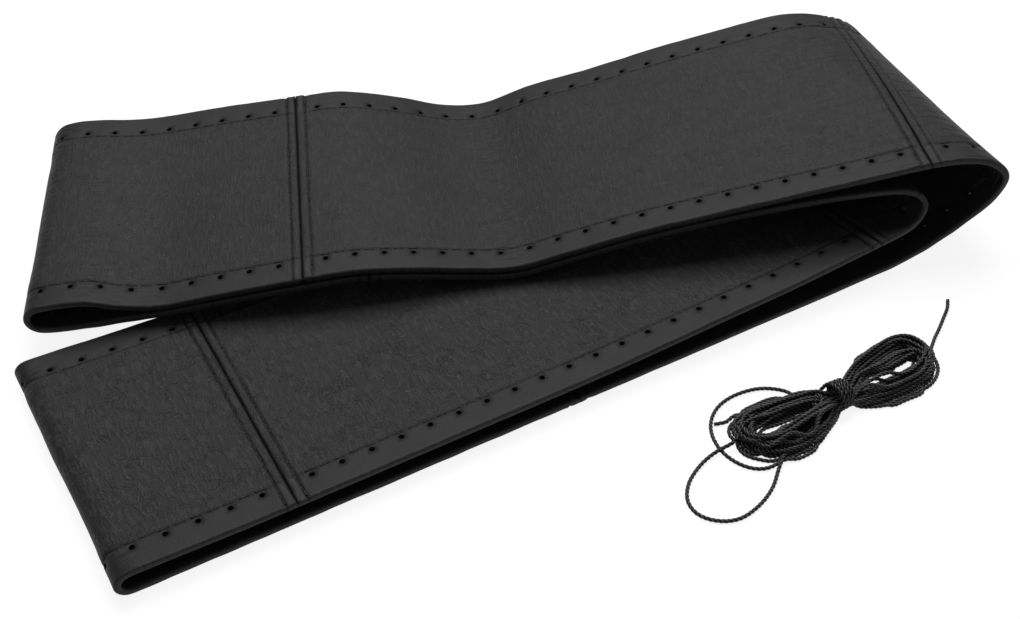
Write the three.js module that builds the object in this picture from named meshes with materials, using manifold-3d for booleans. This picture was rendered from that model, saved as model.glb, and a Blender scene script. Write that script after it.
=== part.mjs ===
// Lace-on steering wheel cover in black leather, off the wheel and laid down folded.
// It is one closed ring of six leather panels sewn end to end, with hems turned under along both
// edges and a row of lacing holes in each hem. The ring is squashed flat and then folded once more,
// so it lies as two arms of two layers each, joined by two bends at the right and two folds at the left.
// Millimetres, +Z up. The origin is under the middle of the cover's box, on the surface it lies on.

import * as THREE from "three";
import { mergeVertices } from "three/addons/utils/BufferGeometryUtils.js";
import Module from "manifold-3d";

const wasm = await Module();
wasm.setup();

// Driving sizes of the cover as it is cut and sewn.
const WHEEL_DIAMETER = 380; // outer diameter of the wheel that the ring is sewn for
const SEWN_SHORT = 0.993; // the ring is sewn a little short, and stretches onto the wheel
const COVER_WIDTH = 94; // across the band, hem edge to hem edge
const PANEL_COUNT = 6;
const LEATHER = 1.1; // one layer of leather
const HEM_WIDTH = 10; // turned under along both edges
const SEAM_ALLOWANCE = 8; // turned under at each end of a panel
const ALLOWANCE_STEP = 0.3; // the cut edge of what is turned under, as a short slope
const SEAM_GAP = 0.3; // between the butted ends of two panels
const SEAM_ROUND = 1.1; // how far from the seam the folded end is rounded
const HOLES_PER_EDGE = 21; // lacing holes along one edge of one panel
const END_PITCHES = 0.8; // from a seam to the first hole, in hole pitches
const HOLE_DIAMETER = 1.8;
const HOLE_INSET = 7.8; // from the hem edge to the middle of a hole
const HOLE_SIDES = 5;

// Worked out from them.
const RING_LENGTH = Math.PI * WHEEL_DIAMETER * SEWN_SHORT;
const PANEL_LENGTH = RING_LENGTH / PANEL_COUNT;
const HOLE_PITCH = PANEL_LENGTH / (HOLES_PER_EDGE - 1 + 2 * END_PITCHES);
const HEM_THICKNESS = 2 * LEATHER;
const LAYER_CLEARANCE = 0.3; // left between two layers that press on each other
const PRESSED = 2 * HEM_THICKNESS + LAYER_CLEARANCE; // outer face to outer face of two such layers

// How it lies. Each arm is a straight strip seen from above. The two near edges meet at a corner.
const UPPER_ARM_ANGLE = 6.24; // degrees from +X
const LOWER_ARM_ANGLE = 27.69;
const CORNER = new THREE.Vector3(138.9, 373.4, 0);
const BEND_STEPS = 6;

const upper = armOf(UPPER_ARM_ANGLE);
const lower = armOf(LOWER_ARM_ANGLE);

// The two layers of the upper arm. at is how far back from the corner each ruling starts at the near
// edge and at the far edge, in panel lengths. under is the height of the lower of the two layers there,
// and loft is how far the top layer stands off it, beyond pressing on it.
const FIRST_SEAM_ROW = 4;
const upperRows = [
  { at: [1.36, 1.36], under: [6.1, 4.4], loft: [6.4, 9.5] },
  { at: [1.309, 1.309], under: [6.9, 5.6], loft: [2.5, 7.2] },
  { at: [1.259, 1.259], under: [7.3, 7.4], loft: [0.4, 5.3] },
  { at: [1.148, 1.148], under: [9.5, 11.2], loft: [0.4, 3.1] },
  { at: [1.027, 1.022], under: [11.8, 14.4], loft: [0.5, 1.2] },
  { at: [0.942, 0.942], under: [12.9, 15.3], loft: [0.5, 0.6] },
  { at: [0.846, 0.846], under: [11.1, 11.0], loft: [0.5, 0.5] },
  { at: [0.765, 0.765], under: [8.6, 5.7], loft: [0.5, 0.5] },
  { at: [0.695, 0.695], under: [7.4, 4.5], loft: [0.5, 0.5] },
  { at: [0.604, 0.604], under: [11.3, 10.1], loft: [0.5, 0.5] },
  { at: [0.493, 0.493], under: [16.3, 14.8], loft: [0.5, 0.5] },
  { at: [0.347, 0.388], under: [21.0, 20.0], loft: [0.5, 0.5] },
  { at: [0.181, 0.267], under: [24.2, 21.0], loft: [2.3, 4.7] },
];
const UPPER_FOLD = { at: [1.4, 1.41], from: [6.1, 4.0], to: [16.9, 18.6], reach: [-6, -8] };

// The upper layer of the lower arm, as its rise above pressing on the layer that lies flat.
const lowerRows = [
  { at: [1.329, 1.329], rise: [4.3, 2.2] },
  { at: [1.198, 1.198], rise: [3.7, 1.0] },
  { at: [1.047, 1.047], rise: [3.8, 0.1] },
  { at: [0.846, 0.846], rise: [3.9, 0.1] },
  { at: [0.614, 0.614], rise: [4.2, 0.1] },
  { at: [0.438, 0.438], rise: [5.7, 0.2] },
  { at: [0.287, 0.262], rise: [7.1, 0.5] },
  { at: [0.176, 0.111], rise: [8.9, 1.1] },
];
const LOWER_FOLD = { at: [1.37, 1.375], rise: [4.3, 2.6], reach: [-5, -4.2] };
const INNER_BEND = {
  leave: [0.089, 0.027],
  rise: [10.5, 1.5],
  arrive: [0.085, 0.205],
  height: [24.3, 20.6],
  reach: [8, 9],
};
const OUTER_BEND = {
  leave: [-0.01, 0.146],
  height: [36.0, 34.4],
  arrive: [0.099, -0.081],
  reach: [25.5, 27.5],
};
const flatRows = [
  [0.242, 0.06],
  [0.483, 0.403],
  [0.745, 0.745],
  [1.007, 1.007],
  [1.259, 1.259],
];

// The lacing thread, wound in a hank that lies beside the cover, with two loose loops and a tail.
const THREAD = 1.2;
const THREAD_SIDES = 6;
const HANK_HEIGHT = 5.6;
const HANK_WAIST = new THREE.Vector3(94.6, 306.4, 0);
const HANK_ANGLE = 27; // degrees from +X
const HANK_CURVE_POINTS = 48;
// Half of the hank's outline, as distance from the waist and half width.
const hankOutline = [
  [-34.5, 0],
  [-33, 5],
  [-26, 8.6],
  [-15, 7.8],
  [-6, 4.2],
  [0, 3],
  [6, 4],
  [14, 6.6],
  [24, 7.2],
  [33, 5],
  [36, 0],
];
// The thread's loose stretches, chosen by hand, as the middle of the thread.
const THREAD_LIES = 0.65;
const outerLoopRoute = [
  [84.6, 308.5, THREAD_LIES],
  [80, 311.8, THREAD_LIES],
  [73, 313.4, THREAD_LIES],
  [66, 311.6, THREAD_LIES],
  [60.6, 308, THREAD_LIES],
  [57.4, 303.4, THREAD_LIES],
  [56.1, 297.6, THREAD_LIES],
  [57, 292, THREAD_LIES],
  [59.5, 287.2, THREAD_LIES],
  [63.4, 283.6, THREAD_LIES],
  [67, 282.2, THREAD_LIES],
  [70.4, 282.4, THREAD_LIES],
];
const openLoopRoute = [
  [61.6, 290.9, 2.7],
  [57.6, 289.4, 2.6],
  [53.8, 286.6, 1.6],
  [50.4, 282.8, THREAD_LIES],
  [47.4, 277.3, THREAD_LIES],
  [46.6, 271.2, THREAD_LIES],
  [49, 266.5, THREAD_LIES],
  [54.2, 264.1, THREAD_LIES],
  [59.9, 264.6, THREAD_LIES],
  [66, 269.2, THREAD_LIES],
  [70.5, 275.4, THREAD_LIES],
  [72.8, 281.9, THREAD_LIES],
  [73.2, 285, THREAD_LIES],
];
const tailRoute = [
  [124.9, 325.1, 3.4],
  [126.5, 328.8, 2.2],
  [127.9, 332.1, 1],
  [129.5, 335.3, THREAD_LIES],
  [131.9, 340.1, THREAD_LIES],
  [134.3, 345, THREAD_LIES],
  [136, 348.6, THREAD_LIES],
];
const THREAD_STEP = 3; // between two sections of a thread's tube

// Finishes.
const leatherFinish = { color: 0x37363a, roughness: 0.52, metalness: 0 };
const threadFinish = { color: 0x1c1c1e, roughness: 0.7, metalness: 0 };

function headingOf(degrees) {
  const a = THREE.MathUtils.degToRad(degrees);
  return new THREE.Vector3(Math.cos(a), Math.sin(a), 0);
}

// A straight arm of the laid ring: its heading, and the way across it from the near edge to the far one.
function armOf(degrees) {
  const along = headingOf(degrees);
  return { degrees, along, across: new THREE.Vector3(-along.y, along.x, 0) };
}

// A point on an edge of an arm, so many panel lengths back from the corner, at a height.
function onArm(arm, back, edge, height) {
  return CORNER.clone()
    .addScaledVector(arm.along, -back * PANEL_LENGTH)
    .addScaledVector(arm.across, edge * COVER_WIDTH)
    .setZ(height);
}

// A ruling is the straight line across the band: its near end and its far end.
function rulingOn(arm, at, heights) {
  return [0, 1].map((edge) => onArm(arm, at[edge], edge, heights[edge]));
}

// The rulings round a bend, from one ruling to another. It bulges out along the arm that it leaves, then
// along the arm that it joins. A reach below 0 bulges back along them.
function bendRulings(start, end, leaving, joining, reach) {
  const rulings = [];
  for (let i = 0; i <= BEND_STEPS; i++) {
    const turn = (Math.PI * i) / BEND_STEPS;
    const share = (1 - Math.cos(turn)) / 2;
    const heading = headingOf(THREE.MathUtils.lerp(leaving.degrees, joining.degrees, share));
    rulings.push(
      [0, 1].map((edge) =>
        start[edge].clone().lerp(end[edge], share).addScaledVector(heading, reach[edge] * Math.sin(turn)),
      ),
    );
  }
  return rulings;
}

// All rulings in order round the ring, from the first seam: along the top, round the outer bend, back
// flat underneath, up round the lower fold, along the second layer, round the inner bend, back under the
// top layer and up round the upper fold. shift moves the upper fold out along its arm, at each edge.
function ringRulings(shift) {
  const top = upperRows.map((row) =>
    rulingOn(upper, row.at, row.under.map((height, edge) => height + PRESSED + row.loft[edge])),
  );
  const under = upperRows.map((row) => rulingOn(upper, row.at, row.under)).reverse();
  const outer = bendRulings(
    rulingOn(upper, OUTER_BEND.leave, OUTER_BEND.height),
    rulingOn(lower, OUTER_BEND.arrive, [0, 0]),
    upper,
    lower,
    OUTER_BEND.reach,
  );
  const flat = flatRows.map((at) => rulingOn(lower, at, [0, 0]));
  const lowerFold = bendRulings(
    rulingOn(lower, LOWER_FOLD.at, [0, 0]),
    rulingOn(lower, LOWER_FOLD.at, LOWER_FOLD.rise.map((rise) => PRESSED + rise)),
    lower,
    lower,
    LOWER_FOLD.reach,
  );
  const second = lowerRows.map((row) => rulingOn(lower, row.at, row.rise.map((rise) => PRESSED + rise)));
  const inner = bendRulings(
    rulingOn(lower, INNER_BEND.leave, INNER_BEND.rise.map((rise) => PRESSED + rise)),
    rulingOn(upper, INNER_BEND.arrive, INNER_BEND.height),
    lower,
    upper,
    INNER_BEND.reach,
  );
  const foldAt = UPPER_FOLD.at.map((at, edge) => at + shift[edge] / PANEL_LENGTH);
  const upperFold = bendRulings(
    rulingOn(upper, foldAt, UPPER_FOLD.from),
    rulingOn(upper, foldAt, UPPER_FOLD.to),
    upper,
    upper,
    UPPER_FOLD.reach,
  );
  return [
    ...top.slice(FIRST_SEAM_ROW),
    ...outer,
    ...flat,
    ...lowerFold,
    ...second,
    ...inner,
    ...under,
    ...upperFold,
    ...top.slice(0, FIRST_SEAM_ROW),
  ];
}

// One edge of the ring as a closed smooth line, never below the surface that the cover lies on.
const SAMPLES_PER_RULING = 40;
function edgeLine(rulings, edge) {
  const curve = new THREE.CatmullRomCurve3(rulings.map((ruling) => ruling[edge]), true, "centripetal");
  const count = rulings.length * SAMPLES_PER_RULING;
  const points = [];
  const lengths = [0];
  for (let i = 0; i <= count; i++) {
    const point = curve.getPoint(i / count);
    point.z = Math.max(point.z, 0);
    if (i > 0) lengths.push(lengths[i - 1] + point.distanceTo(points[i - 1]));
    points.push(point);
  }
  return { points, lengths };
}

// The upper fold lies where it makes both edges as long as the six panels.
const CLOSING_ROUNDS = 12;
function closedEdges() {
  const shift = [0, 0];
  let edges = [];
  for (let round = 0; round < CLOSING_ROUNDS; round++) {
    const rulings = ringRulings(shift);
    edges = [0, 1].map((edge) => edgeLine(rulings, edge));
    edges.forEach((line, edge) => {
      shift[edge] += (RING_LENGTH - line.lengths.at(-1)) / 2;
    });
  }
  return edges;
}
const ringEdges = closedEdges();

// The leather gives a little between two seams, so a seam's far end can lie further round the ring than
// its near end.
const seamSlips = [0, 0, 0, 8, 0, 0];
function slipAt(along) {
  const count = along / PANEL_LENGTH;
  const seam = Math.floor(count);
  const slipOf = (i) => seamSlips[(i + PANEL_COUNT) % PANEL_COUNT];
  return THREE.MathUtils.lerp(slipOf(seam), slipOf(seam + 1), count - seam);
}

// The place on the ring that lies along it from the first seam, across it from the near edge, and deep
// under its outer face.
function ringPoint(along, across, depth) {
  const share = across / COVER_WIDTH;
  const [near, far] = ringEdges;
  const slipped = along + slipAt(along) * share;
  const wrapped = ((slipped % RING_LENGTH) + RING_LENGTH) % RING_LENGTH;
  const reached = (i) => near.lengths[i] * (1 - share) + far.lengths[i] * share;
  const count = near.points.length - 1;
  let low = 0;
  let high = count;
  while (high - low > 1) {
    const middle = (low + high) >> 1;
    if (reached(middle) <= wrapped) low = middle;
    else high = middle;
  }
  const part = (wrapped - reached(low)) / (reached(high) - reached(low));
  const at = (i) => near.points[i].clone().lerp(far.points[i], share);
  const before = at((low - 1 + count) % count);
  const after = at((high + 1) % count);
  const ruling = far.points[low].clone().sub(near.points[low]);
  const outward = after.sub(before).cross(ruling).normalize();
  return { point: at(low).lerp(at(high), part).addScaledVector(outward, -depth), outward };
}

// The band's section at one station, as pairs of across and depth, round from the near edge. sunk is how
// far both faces are rounded in, and core is the thickness between the hems.
const SECTION_ROWS = [0.3, 0.5, 0.7];
function bandSection(sunk, core) {
  const edge = LEATHER;
  const corner = edge / 3;
  const deep = HEM_THICKNESS - sunk;
  const across = SECTION_ROWS.map((share) => share * COVER_WIDTH);
  const outer = [edge, ...across, COVER_WIDTH - edge].map((v) => [v, sunk]);
  const inner = [
    [COVER_WIDTH - HEM_WIDTH, deep],
    [COVER_WIDTH - HEM_WIDTH - ALLOWANCE_STEP, core],
    ...across.map((v) => [v, core]).reverse(),
    [HEM_WIDTH + ALLOWANCE_STEP, core],
    [HEM_WIDTH, deep],
  ];
  const round = (side) => [
    [side(corner), sunk + corner / 2],
    [side(0), LEATHER],
    [side(corner), deep - corner / 2],
  ];
  return [
    ...outer,
    ...round((v) => COVER_WIDTH - v),
    ...inner,
    ...round((v) => v).reverse(),
  ];
}

// Stations along a panel: at its folded ends, and between them wherever the band has gone far, or has
// turned far at either edge or in the middle.
const STATION_REACH = 14;
const STATION_TURN = THREE.MathUtils.degToRad(14);
const STATION_SCAN = 0.5;
function facings(along) {
  return [0, COVER_WIDTH / 2, COVER_WIDTH].map((across) => ringPoint(along, across, 0).outward);
}

// How far a place along a panel lies from the nearest lacing hole, in pitches.
function holePhase(u) {
  const count = u / HOLE_PITCH - END_PITCHES;
  return count - Math.round(count);
}

function panelStations(start) {
  const first = SEAM_GAP / 2;
  const ends = [first, first + SEAM_ROUND, SEAM_ALLOWANCE, SEAM_ALLOWANCE + ALLOWANCE_STEP];
  const stop = PANEL_LENGTH - ends.at(-1);
  const between = [];
  let last = ends.at(-1);
  let before = facings(start + last);
  for (let u = last + STATION_SCAN; u < stop - 2 * STATION_SCAN; u += STATION_SCAN) {
    const now = facings(start + u);
    const turned = Math.max(...now.map((facing, i) => facing.angleTo(before[i])));
    const betweenHoles = Math.abs(holePhase(u)) * HOLE_PITCH > HOLE_DIAMETER * 0.75;
    if (betweenHoles && (u - last >= STATION_REACH || turned >= STATION_TURN)) {
      between.push(u);
      last = u;
      before = now;
    }
  }
  const sectionAt = (u, sunk, core) => ({ u, section: bandSection(sunk, core) });
  const folded = (HEM_THICKNESS - LEATHER) / 2;
  return [
    sectionAt(ends[0], folded, HEM_THICKNESS - folded),
    sectionAt(ends[1], 0, HEM_THICKNESS),
    sectionAt(ends[2], 0, HEM_THICKNESS),
    sectionAt(ends[3], 0, LEATHER),
    ...between.map((u) => sectionAt(u, 0, LEATHER)),
    sectionAt(PANEL_LENGTH - ends[3], 0, LEATHER),
    sectionAt(PANEL_LENGTH - ends[2], 0, HEM_THICKNESS),
    sectionAt(PANEL_LENGTH - ends[1], 0, HEM_THICKNESS),
    sectionAt(PANEL_LENGTH - ends[0], folded, HEM_THICKNESS - folded),
  ];
}

// One leather panel without its holes, lofted through its stations and closed at both ends.
function panelBlank(start) {
  const stations = panelStations(start);
  const around = stations[0].section.length;
  const vertices = [];
  for (const { u, section } of stations) {
    for (const [across, depth] of section) {
      vertices.push(...ringPoint(start + u, across, depth).point.toArray());
    }
  }
  const faces = [];
  for (let i = 0; i < stations.length - 1; i++) {
    for (let j = 0; j < around; j++) {
      const a = i * around + j;
      const b = i * around + ((j + 1) % around);
      faces.push(a, a + around, b, b, a + around, b + around);
    }
  }
  const outline = stations[0].section.map(([across, depth]) => new THREE.Vector2(across, -depth));
  const last = (stations.length - 1) * around;
  for (const [a, b, c] of THREE.ShapeUtils.triangulateShape(outline, [])) {
    faces.push(a, c, b, last + a, last + b, last + c);
  }
  const geometry = new THREE.BufferGeometry();
  geometry.setAttribute("position", new THREE.Float32BufferAttribute(vertices, 3));
  geometry.setIndex(faces);
  return geometry;
}

// A closed geometry as a solid that can be cut, and a cut solid as a geometry again.
function solidOf(geometry) {
  const bare = geometry.clone();
  bare.deleteAttribute("normal");
  bare.deleteAttribute("uv");
  const merged = mergeVertices(bare);
  return new wasm.Manifold(
    new wasm.Mesh({
      numProp: 3,
      vertProperties: merged.attributes.position.array,
      triVerts: new Uint32Array(merged.index.array),
    }),
  );
}

function geometryOf(solid) {
  const mesh = solid.getMesh();
  const geometry = new THREE.BufferGeometry();
  geometry.setAttribute("position", new THREE.Float32BufferAttribute(mesh.vertProperties, 3));
  geometry.setIndex(new THREE.Uint32BufferAttribute(mesh.triVerts, 1));
  return geometry;
}

// The punch for one lacing hole, square to the leather where the hole is.
const PUNCH_LENGTH = HEM_THICKNESS + 2;
function holePunch(along, across) {
  const { point, outward } = ringPoint(along, across, HEM_THICKNESS / 2);
  const punch = new THREE.CylinderGeometry(HOLE_DIAMETER / 2, HOLE_DIAMETER / 2, PUNCH_LENGTH, HOLE_SIDES);
  punch.applyQuaternion(new THREE.Quaternion().setFromUnitVectors(new THREE.Vector3(0, 1, 0), outward));
  return solidOf(punch.translate(...point.toArray()));
}

// One leather panel, with a row of lacing holes in each hem.
const CUT_TOLERANCE = 0.03; // flat facets that a cut has split are joined again
function leatherPanel(index) {
  const start = index * PANEL_LENGTH;
  let panel = solidOf(panelBlank(start));
  for (let i = 0; i < HOLES_PER_EDGE; i++) {
    const along = start + (END_PITCHES + i) * HOLE_PITCH;
    for (const across of [HOLE_INSET, COVER_WIDTH - HOLE_INSET]) {
      panel = panel.subtract(holePunch(along, across));
    }
  }
  return geometryOf(panel.simplify(CUT_TOLERANCE));
}

// A tube of thread along a route.
function threadTube(route) {
  const path = new THREE.CatmullRomCurve3(route.map((point) => new THREE.Vector3(...point)));
  const section = new THREE.Shape();
  for (let i = 0; i < THREAD_SIDES; i++) {
    const turn = (2 * Math.PI * i) / THREAD_SIDES;
    const corner = [0.5 * THREAD * Math.cos(turn), 0.5 * THREAD * Math.sin(turn)];
    if (i === 0) section.moveTo(...corner);
    else section.lineTo(...corner);
  }
  section.closePath();
  const steps = Math.ceil(path.getLength() / THREAD_STEP);
  return new THREE.ExtrudeGeometry(section, { steps, extrudePath: path });
}

// The hank: its turns and the wraps round its waist, as one solid of their outer shape.
function threadHank() {
  const side = new THREE.SplineCurve(hankOutline.map(([x, y]) => new THREE.Vector2(x, y)));
  const half = side.getSpacedPoints(HANK_CURVE_POINTS / 2).map((p) => new THREE.Vector2(p.x, Math.max(p.y, 0)));
  const mirrored = half.slice(1, -1).reverse().map((p) => new THREE.Vector2(p.x, -p.y));
  const shape = new THREE.Shape([...half, ...mirrored]);
  return new THREE.ExtrudeGeometry(shape, { depth: HANK_HEIGHT, bevelEnabled: false });
}

function namedMesh(name, geometry, finish) {
  const mesh = new THREE.Mesh(geometry, new THREE.MeshStandardMaterial(finish));
  mesh.name = name;
  return mesh;
}

const cover = new THREE.Group();
for (let i = 0; i < PANEL_COUNT; i++) {
  cover.add(namedMesh(`panel_${i + 1}`, leatherPanel(i), leatherFinish));
}

const hank = namedMesh("thread_hank", threadHank(), threadFinish);
hank.rotation.z = THREE.MathUtils.degToRad(HANK_ANGLE);
hank.position.copy(HANK_WAIST);
const thread = new THREE.Group();
thread.add(
  hank,
  namedMesh("thread_outer_loop", threadTube(outerLoopRoute), threadFinish),
  namedMesh("thread_open_loop", threadTube(openLoopRoute), threadFinish),
  namedMesh("thread_tail", threadTube(tailRoute), threadFinish),
);

const part = new THREE.Group();
part.name = "steering_wheel_cover";
part.add(cover, thread);
const middle = new THREE.Box3().setFromObject(cover).getCenter(new THREE.Vector3());
part.position.set(-middle.x, -middle.y, 0);

export default part;
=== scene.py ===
# Lace-on leather steering wheel cover, laid down folded, with its hank of lacing thread.
# The leather panels are shaped flat, as they are cut, and then laid along the folded ring of the
# CAD model.
import logging
import math
from dataclasses import dataclass, field
from enum import Enum
from itertools import product
from typing import Iterable, Sequence

import bmesh
import bpy
import numpy as np
from mathutils import Matrix, Vector


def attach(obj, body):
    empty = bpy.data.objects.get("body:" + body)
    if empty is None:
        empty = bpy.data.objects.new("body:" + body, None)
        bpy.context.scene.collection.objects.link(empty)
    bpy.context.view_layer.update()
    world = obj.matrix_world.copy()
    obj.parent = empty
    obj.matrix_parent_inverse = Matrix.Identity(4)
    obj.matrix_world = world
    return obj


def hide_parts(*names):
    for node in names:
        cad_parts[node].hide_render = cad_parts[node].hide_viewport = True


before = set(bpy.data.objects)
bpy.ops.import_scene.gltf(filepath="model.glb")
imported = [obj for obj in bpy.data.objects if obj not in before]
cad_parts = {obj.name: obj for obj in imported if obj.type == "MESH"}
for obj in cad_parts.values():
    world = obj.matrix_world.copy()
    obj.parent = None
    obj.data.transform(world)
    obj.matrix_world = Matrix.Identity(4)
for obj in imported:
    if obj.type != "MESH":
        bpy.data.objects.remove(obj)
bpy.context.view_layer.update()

log = logging.getLogger("cover")

Colour = tuple[float, float, float, float]
Places = tuple[tuple[float, ...], ...]

MM = 0.001
BODY = "root"
# From the frame that the lay is worked out in, with its origin under the camera, to the model's,
# in mm.
TO_MODEL = np.array([-0.9456, -359.299, 0.0])


class Edge(Enum):
    """The two long edges of the band: the near one and the far one."""

    NEAR = 0
    FAR = 1


def heading(degrees: float) -> np.ndarray:
    """A level unit vector at an angle from +X."""
    angle = math.radians(degrees)
    return np.array([math.cos(angle), math.sin(angle), 0.0])


def smooth_step(low: float, high: float, value: np.ndarray) -> np.ndarray:
    """0 below low, 1 above high, and smooth between."""
    share = np.clip((value - low) / (high - low), 0.0, 1.0)
    return share * share * (3.0 - 2.0 * share)


def bump_at(value: np.ndarray, place: float | np.ndarray, reach: float) -> np.ndarray:
    """A bell that is 1 at a place and fades out over a reach."""
    return np.exp(-(((value - place) / reach) ** 2))


def soft_noise(x: np.ndarray, y: np.ndarray, cell: tuple[float, float], seed: int) -> np.ndarray:
    """Smooth noise from -1 to 1 over a flat sheet.

    Args:
        x: Places along the sheet.
        y: Places across it.
        cell: The size of one lump along and across.
        seed: Which noise it is.

    Returns:
        The noise at each place.
    """
    u = (x - x.min()) / cell[0]
    v = (y - y.min()) / cell[1]
    i, j = np.floor(u).astype(int), np.floor(v).astype(int)
    grid = np.random.default_rng(seed).uniform(-1.0, 1.0, (i.max() + 2, j.max() + 2))
    a = (u - i) ** 2 * (3.0 - 2.0 * (u - i))
    b = (v - j) ** 2 * (3.0 - 2.0 * (v - j))
    near = grid[i, j] * (1 - a) + grid[i + 1, j] * a
    far = grid[i, j + 1] * (1 - a) + grid[i + 1, j + 1] * a
    return near * (1 - b) + far * b


def smooth_line(points: np.ndarray, samples: int, closed: bool = False) -> np.ndarray:
    """A centripetal spline through points.

    Args:
        points: The points it goes through, N by 3.
        samples: How many samples each stretch between two points gets.
        closed: True if it goes on from the last point to the first.

    Returns:
        The samples in order, with the last point, or the first one again where it is closed.
    """
    count = len(points)
    if closed:
        order = np.arange(-1, count + 2) % count
        p = points[order]
    else:
        before = 2 * points[0] - points[1]
        after = 2 * points[-1] - points[-2]
        p = np.vstack([before, points, after])
    p0, p1, p2, p3 = p[:-3], p[1:-2], p[2:-1], p[3:]

    def gap(a: np.ndarray, b: np.ndarray) -> np.ndarray:
        return np.maximum(((a - b) ** 2).sum(1), 1e-12) ** 0.25

    d0, d1, d2 = (gap(a, b)[:, None] for a, b in ((p0, p1), (p1, p2), (p2, p3)))
    t1 = ((p1 - p0) / d0 - (p2 - p0) / (d0 + d1) + (p2 - p1) / d1) * d1
    t2 = ((p2 - p1) / d1 - (p3 - p1) / (d1 + d2) + (p3 - p2) / d2) * d1
    t = np.linspace(0.0, 1.0, samples, endpoint=False)[None, :, None]
    c2 = (-3 * p1 + 3 * p2 - 2 * t1 - t2)[:, None]
    c3 = (2 * p1 - 2 * p2 + t1 + t2)[:, None]
    line = p1[:, None] + t1[:, None] * t + c2 * t**2 + c3 * t**3
    last = points[:1] if closed else points[-1:]
    return np.vstack([line.reshape(-1, 3), last])


def lengths_along(line: np.ndarray) -> np.ndarray:
    """How far each point lies along a line from its first point."""
    return np.concatenate([[0.0], np.cumsum(np.linalg.norm(np.diff(line, axis=0), axis=1))])


def even_line(line: np.ndarray, step: float) -> np.ndarray:
    """The same line with points an even step apart, and with any columns after the place."""
    reached = lengths_along(line[:, :3])
    count = max(2, int(round(reached[-1] / step)) + 1)
    wanted = np.linspace(0.0, reached[-1], count)
    return np.stack([np.interp(wanted, reached, column) for column in line.T], axis=1)


def read_vectors(items: bpy.types.bpy_prop_collection, key: str) -> np.ndarray:
    """One vector of each element of a mesh, such as its co, as rows."""
    values = np.empty(len(items) * 3, np.float32)
    items.foreach_get(key, values)
    return values.reshape(-1, 3).astype(float)


def mesh_of(bm: bmesh.types.BMesh, name: str) -> bpy.types.Mesh:
    """A new mesh of what bm holds. bm is freed."""
    mesh = bpy.data.meshes.new(name)
    bm.to_mesh(mesh)
    bm.free()
    return mesh


def link_object(name: str, data: bpy.types.ID) -> bpy.types.Object:
    """Puts a new object in the scene."""
    obj = bpy.data.objects.new(name, data)
    bpy.context.scene.collection.objects.link(obj)
    return obj


@dataclass(frozen=True)
class Arm:
    """A straight arm of the laid ring, at an angle from +X."""

    degrees: float

    @property
    def along(self) -> np.ndarray:
        """The way along the arm, towards the bends."""
        return heading(self.degrees)

    @property
    def across(self) -> np.ndarray:
        """The way across it, from the near edge to the far one."""
        return heading(self.degrees + 90.0)


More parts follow.
